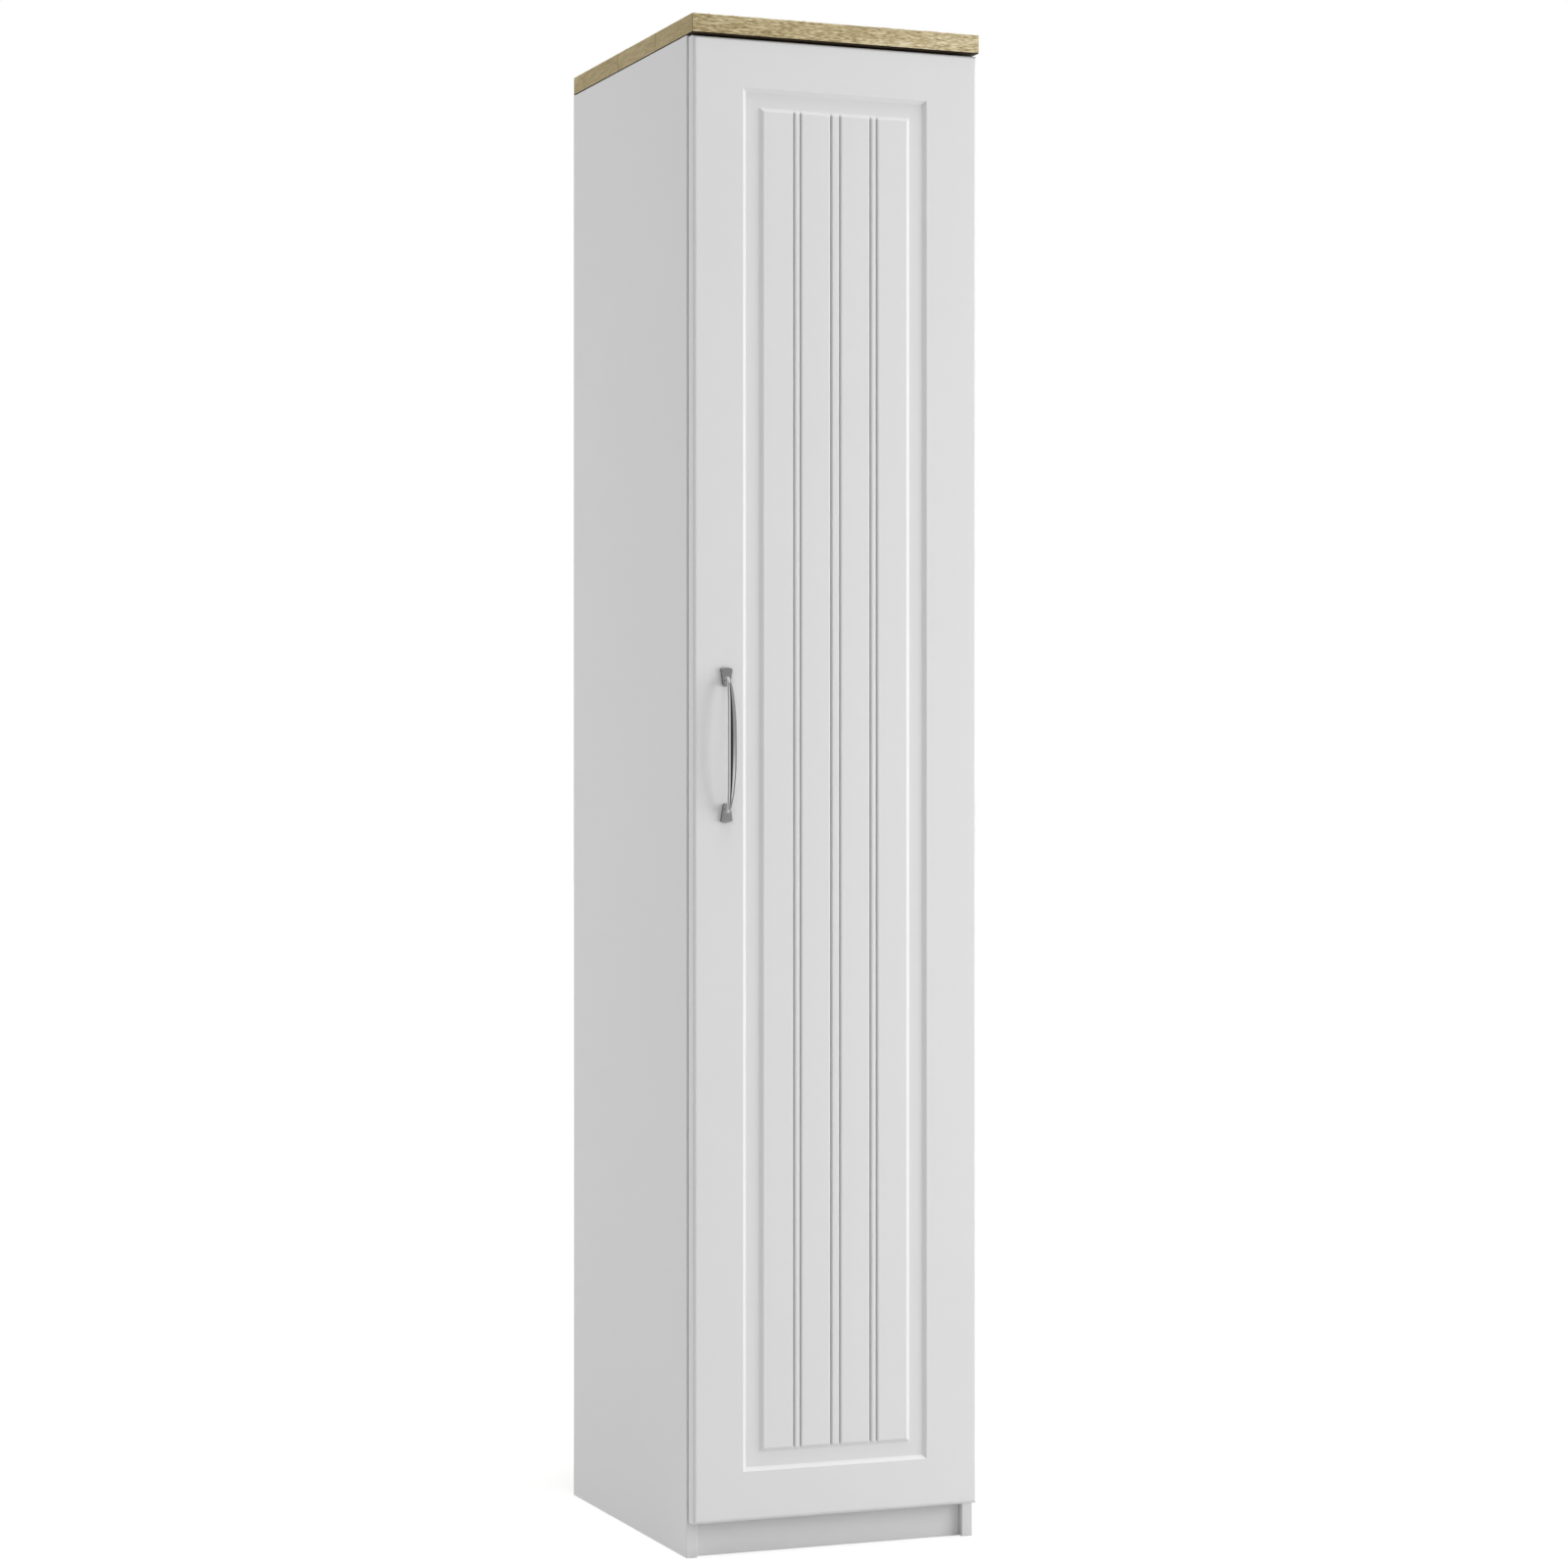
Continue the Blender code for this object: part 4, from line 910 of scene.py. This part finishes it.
def pad_outline(half_length, inset):
    """A foot in outline: a fan with a curved end and a round neck, drawn in by the inset."""
    tip = half_length - inset
    neck = half_length - PAD_LENGTH + inset
    wide = PAD_WIDTH / 2 - inset
    narrow = PAD_NECK_WIDTH / 2 - inset
    radius = (wide**2 + PAD_CROWN**2) / (2 * PAD_CROWN)
    swing = math.asin(wide / radius)
    crown = arc((0, tip - radius), radius, math.pi / 2 - swing, math.pi / 2 + swing, PAD_STEPS)
    return np.concatenate([crown, arc((0, neck + narrow), narrow, math.pi, math.tau, PAD_STEPS)])


def handle_pad(name, middle, half_length, sign):
    """One foot: its outline, carried up a plain edge and over a round shoulder."""
    turn = np.linspace(0, math.pi / 2, SHOULDER_STEPS + 1)
    insets = np.concatenate([[0], PAD_CHAMFER * (1 - np.cos(turn))])
    levels = np.concatenate([[0], PAD_EDGE + (PAD_THICKNESS - PAD_EDGE) * np.sin(turn)])
    rings = []
    for inset, level in zip(insets, levels):
        plan = pad_outline(half_length, inset)
        rings.append(np.stack([plan[:, 0], np.full(len(plan), -level), sign * plan[:, 1]], axis=-1))
    return skin(name, np.stack(rings) + middle)


def handle_bow(middle, half_span, reach):
    """The grip: an oval that swells to the middle, along an arch that rises as (1 - t^n)^(1/n)."""
    rise = reach - HANDLE_LIFT - BOW_DEPTH / 2
    swing = np.linspace(0, math.pi, BOW_STATIONS)
    along, up = np.cos(swing), np.clip(np.sin(swing), 0, 1)
    power = 2 / BOW_SQUARENESS
    z = half_span * np.sign(along) * np.abs(along) ** power
    out = rise * up**power + HANDLE_LIFT
    outward = -half_span * up ** (2 - power)
    endward = rise * np.sign(along) * np.abs(along) ** (2 - power)
    normal = np.stack([np.zeros_like(z), outward, endward], axis=-1)
    normal /= np.linalg.norm(normal, axis=-1, keepdims=True)
    wide = (BOW_END_WIDTH + (BOW_WIDTH - BOW_END_WIDTH) * up**2) / 2
    deep = (BOW_END_DEPTH + (BOW_DEPTH - BOW_END_DEPTH) * up) / 2
    turn = np.linspace(0, math.tau, BOW_SIDES, endpoint=False)
    line = np.stack([np.zeros_like(z), -out, z], axis=-1)
    rings = line[:, None] + (deep[:, None] * np.sin(turn))[..., None] * normal[:, None]
    rings[..., 0] += wide[:, None] * np.cos(turn)
    return skin("bow_handle", rings + middle)


def machine_screw(head, length):
    """A pan-headed screw whose head sits on Z = 0, with a cross slot."""
    turn = np.linspace(0, 1, CROWN_STEPS + 1)
    shoulder = zip(
        head + (PAN_TOP_RADIUS - head) * turn**2, PAN_SHOULDER + (PAN_HEIGHT - PAN_SHOULDER) * turn
    )
    profile = [(0, -length), (PAN_SHANK, -length), (PAN_SHANK, 0), (head, 0), *shoulder]
    return slotted(profile, PAN_SLOT)


def turn_in(node, facing, body):
    """Puts a machine screw in the place of a CAD one, with the size that it has there."""
    low, high = corners(node)
    size = sorted(high - low)
    seat = shown_face(node, facing) - PAN_HEIGHT * np.array(facing)
    rings = to_place(machine_screw(size[0] / 2, size[2] - PAN_HEIGHT), seat, facing)
    dress(skin(f"{node}_cross", rings), zinc, body, "zinc", node)


def chromed_casting(seat):
    """Bright chrome; near the door the feet's edge is rougher and painted dark, as painted shade."""
    material, tree, shader, place = new_material("handle_chrome")
    made = varied(
        tree, place, opaque(HANDLE_CHROME),
        mottle_scale=90.0, mottle_amount=0.08, grain_scale=900.0, roughness=0.06, spread=0.04,
    )
    depth = wire(tree, "ShaderNodeSeparateXYZ", {0: place}).outputs["Y"]
    # Painted shade on the feet's edge next to the door
    edge = maths(tree, "GREATER_THAN", depth, seat - PAINTED_SHADE_HEIGHT)
    colour = mixed(tree, edge, made["Color"], opaque(PAINTED_EDGE_SHADE))
    rough = maths(tree, "MULTIPLY_ADD", edge, SHADED_EDGE_ROUGHER, made["Roughness"])
    shader.inputs["Metallic"].default_value = 1.0
    connect(tree, shader, made["Height"], depth=0.00001, base_color=colour, roughness=rough)
    return material


handle_low, handle_high = corners("handle")
half_length = (handle_high[2] - handle_low[2]) / 2
handle_seat = np.array([
    (handle_low[0] + handle_high[0]) / 2, handle_high[1], (handle_low[2] + handle_high[2]) / 2
])
bow = handle_bow(handle_seat, half_length - PAD_LENGTH / 2, handle_high[1] - handle_low[1])
feet = [handle_pad("handle_foot", handle_seat, half_length, sign) for sign in (-1, 1)]
combined(bow, "UNION", feet)
even_shading(bow)
dress(bow, chromed_casting(handle_high[1]), "door", "handle_chrome", "handle")
for level in ("lower", "upper"):
    turn_in(f"handle_screw_{level}", REARWARD, "door")

# Hinges: three concealed cup hinges of nickelled steel. The cup and its pin go with the door; the pressed
# arm is clamped on a plate that is screwed to the right side.
NICKEL = (0.76, 0.74, 0.71)
FLAT_ANGLE = math.radians(0.5)
PIN_EASE = 0.0003


def pressed_copy(node):
    """The CAD node's own surface, its triangles joined to whole faces."""
    form = bmesh.new()
    form.from_mesh(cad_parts[node].data)
    bmesh.ops.remove_doubles(form, verts=form.verts, dist=MERGE)
    bmesh.ops.dissolve_limit(form, angle_limit=FLAT_ANGLE, verts=form.verts, edges=form.edges)
    mesh = bpy.data.meshes.new(f"{node}_pressing")
    form.to_mesh(mesh)
    form.free()
    if "custom_normal" in mesh.attributes:
        mesh.attributes.remove(mesh.attributes["custom_normal"])
    smooth(mesh)
    return add_object(mesh.name, mesh)


def hinge_pin(node):
    """A steel rod with eased ends, along +Z."""
    low, high = corners(node)
    radius, length = (high[0] - low[0]) / 2, high[2] - low[2]
    upper = [*eased(radius, length / 2, PIN_EASE), (0, length / 2)]
    profile = [(r, -height) for r, height in reversed(upper)] + upper
    rings = np.stack([ring_at(compass * r, height) for r, height in profile])
    return skin(f"{node}_rod", rings + (low + high) / 2)


nickel = bare_metal(
    "nickelled_steel", NICKEL, depth=0.000004,
    mottle_scale=40.0, mottle_amount=0.06, grain_scale=900.0, roughness=0.30, spread=0.05,
)
for number in HINGE_NUMBERS:
    for kind, body in (("cup", "door"), ("arm", "carcass"), ("plate", "carcass")):
        node = f"hinge_{number}_{kind}"
        dress(pressed_copy(node), nickel, body, "nickelled_steel", node)
    dress(hinge_pin(f"hinge_{number}_pin"), zinc, "door", "zinc", f"hinge_{number}_pin")
    turn_in(f"hinge_{number}_clamp_screw", LEFT, "carcass")
    for level in ("lower", "upper"):
        drive_screw(f"hinge_{number}_cup_screw_{level}", REARWARD, "door")
        drive_screw(f"hinge_{number}_plate_screw_{level}", LEFT, "carcass")

# Studio: a plain pale floor that reads as white, soft light from the right, from above and from the rear
# left, and a curved wall in grey tones behind the camera, which the camera and matt surfaces don't see.
FLOOR_SIZE = 60.0
FLOOR_LINES = 3
FLOOR_GREY = 0.55
FLOOR_ROUGHNESS = 0.9
NEAR_GLOW = 0.62
FAR_GLOW = 0.77
GLOW_REACH = (1.2, 6.0)
AMBIENT = 0.49
WALL_RADIUS = 7.0
WALL_LEVELS = (-16.0, 11.0)
WALL_COLUMNS = 32
LEFT_TONES = ((-90, 0.30), (-80, 0.16), (-62, 0.16), (-45, 0.84), (-25, 0.90), (-14, 0.40), (-8, 0.0))
PLAIN_TONES = (*LEFT_TONES, (12, 0.0), (19, 0.32), (27, 0.40), (90, 0.45))
BAND_TONES = (*LEFT_TONES, (10, 0.0), (18, 0.40), (26, 0.95), (44, 0.95), (58, 0.35), (90, 0.25))
BAND_LEVEL = -1.3
BAND_REACH = 2.6
BAND_FADE = 2.0
KEY_PLACE = (3.6, -2.0, 1.25)
KEY_POWER = 108.0
KEY_SIZE = (2.6, 2.4)
TOP_PLACE = (0.0, -2.0, 12.0)
TOP_POWER = 500.0
TOP_SIZE = (4.0, 4.0)
FILL_PLACE = (-3.2, 2.4, 1.2)
FILL_POWER = 28.0
FILL_SIZE = (2.5, 2.5)
LIT_POINT = (0.0, -0.1, 0.7)


def grey(tone):
    """An opaque grey of this tone."""
    return opaque((tone, tone, tone))


def seen_ray(tree):
    """1 for rays of the camera, of mirrors and of clear plastic, and else 0."""
    path = wire(tree, "ShaderNodeLightPath").outputs
    mirror = maths(tree, "MAXIMUM", path["Is Glossy Ray"], path["Is Transmission Ray"])
    return maths(tree, "MAXIMUM", path["Is Camera Ray"], mirror)


def stage_mesh(name, points, material):
    """A sheet of the studio from a grid of points."""
    rows, columns = points.shape[:2]
    here = np.arange(rows * columns).reshape(rows, columns)
    quads = np.stack([here[:-1, :-1], here[1:, :-1], here[1:, 1:], here[:-1, 1:]], axis=-1)
    mesh = bpy.data.meshes.new(name)
    mesh.from_pydata(points.reshape(-1, 3).tolist(), [], quads.reshape(-1, 4).tolist())
    mesh.materials.append(material)
    sheet = add_object(name, mesh)
    sheet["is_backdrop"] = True
    return sheet


def wall_tones(tree, turned, tones):
    """The grey at an angle, in half turns from the middle, between the (degrees, grey) pairs."""
    ramp = wire(tree, "ShaderNodeValToRGB", {"Fac": maths(tree, "ADD", turned, 0.5)})
    stops = ramp.color_ramp.elements
    for angle, tone in tones[1:-1]:
        stops.new(0.5 + angle / 180).color = grey(tone)
    stops[0].color = grey(tones[0][1])
    stops[len(stops) - 1].color = grey(tones[-1][1])
    return ramp.outputs["Color"]


floor_paint, tree, shader, place = new_material("studio_floor")
shader.inputs["Base Color"].default_value = grey(FLOOR_GREY)
shader.inputs["Roughness"].default_value = FLOOR_ROUGHNESS
shader.inputs["Emission Color"].default_value = grey(1.0)
away = wire(tree, "ShaderNodeVectorMath", {0: place}, operation="LENGTH").outputs["Value"]
limits = {"From Min": GLOW_REACH[0], "From Max": GLOW_REACH[1], "To Min": NEAR_GLOW, "To Max": FAR_GLOW}
glow = wire(tree, "ShaderNodeMapRange", {"Value": away, **limits}).outputs["Result"]
tree.links.new(maths(tree, "MULTIPLY", seen_ray(tree), glow), shader.inputs["Emission Strength"])
span = np.linspace(-FLOOR_SIZE / 2, FLOOR_SIZE / 2, FLOOR_LINES)
floor_x, floor_y = np.meshgrid(span, span, indexing="ij")
floor = stage_mesh("studio_floor", np.stack([floor_x, floor_y, floor_x * 0], axis=-1), floor_paint)
# In reflections the wall goes on below the floor
floor.visible_glossy = False

wall_paint, tree, shader, place = new_material("studio_wall")
shader.inputs["Base Color"].default_value = grey(0.0)
shader.inputs["Emission Strength"].default_value = 1.0
spot = wire(tree, "ShaderNodeSeparateXYZ", {0: place}).outputs
turned = maths(tree, "ARCTAN2", spot["X"], maths(tree, "MULTIPLY", spot["Y"], -1.0))
turned = maths(tree, "DIVIDE", turned, math.pi)
away = maths(tree, "ABSOLUTE", maths(tree, "SUBTRACT", spot["Z"], BAND_LEVEL))
# The band is full in the inner half of its reach, and then fades out
band = maths(tree, "MULTIPLY_ADD", away, -BAND_FADE / BAND_REACH, BAND_FADE)
tones = mixed(tree, band, wall_tones(tree, turned, PLAIN_TONES), wall_tones(tree, turned, BAND_TONES))
tree.links.new(tones, shader.inputs["Emission Color"])
half_round = np.linspace(math.pi, math.tau, WALL_COLUMNS + 1)
turn, rise = np.meshgrid(half_round, WALL_LEVELS, indexing="ij")
bowed = np.stack([WALL_RADIUS * np.cos(turn), WALL_RADIUS * np.sin(turn), rise], axis=-1)
wall = stage_mesh("studio_wall", bowed, wall_paint)
wall.visible_camera = False
wall.visible_diffuse = False
wall.visible_shadow = False

world = bpy.data.worlds.new("studio")
bpy.context.scene.world = world
world.use_nodes = True
tree = world.node_tree
strength = maths(tree, "MULTIPLY_ADD", seen_ray(tree), 1 - AMBIENT, AMBIENT)
tree.links.new(strength, tree.nodes["Background"].inputs["Strength"])
tree.nodes["Background"].inputs["Color"].default_value = grey(1.0)


def softbox(name, place, power, size):
    """A flat soft light, so wide and so tall, that looks at the wardrobe."""
    light = bpy.data.lights.new(name, "AREA")
    light.shape = "RECTANGLE"
    light.size, light.size_y = size
    light.energy = power
    lamp = add_object(name, light)
    lamp.location = place
    lamp.rotation_euler = (Vector(LIT_POINT) - Vector(place)).to_track_quat("-Z", "Y").to_euler()
    lamp.visible_glossy = False


softbox("key_light", KEY_PLACE, KEY_POWER, KEY_SIZE)
softbox("top_light", TOP_PLACE, TOP_POWER, TOP_SIZE)
softbox("fill_light", FILL_PLACE, FILL_POWER, FILL_SIZE)

# Camera: level, at half the wardrobe's height and to the left of its front. The small shift keeps the
# wardrobe where the picture's frame has it.
CAMERA_PLACE = (-1.8401, -4.7133, 0.9943)
CAMERA_YAW = math.radians(-21.484)
CAMERA_LENS = 86.235
HORIZON_SHIFT = -0.00278

view = bpy.data.cameras.new("camera")
view.lens = CAMERA_LENS
view.shift_y = HORIZON_SHIFT
camera = add_object("camera", view)
camera.location = CAMERA_PLACE
camera.rotation_euler = (math.pi / 2, 0, CAMERA_YAW)
bpy.context.scene.camera = camera
bpy.context.scene.view_settings.view_transform = "Standard"

# Sizes: the box round the finished pieces that render, the studio left out.
low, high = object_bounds()
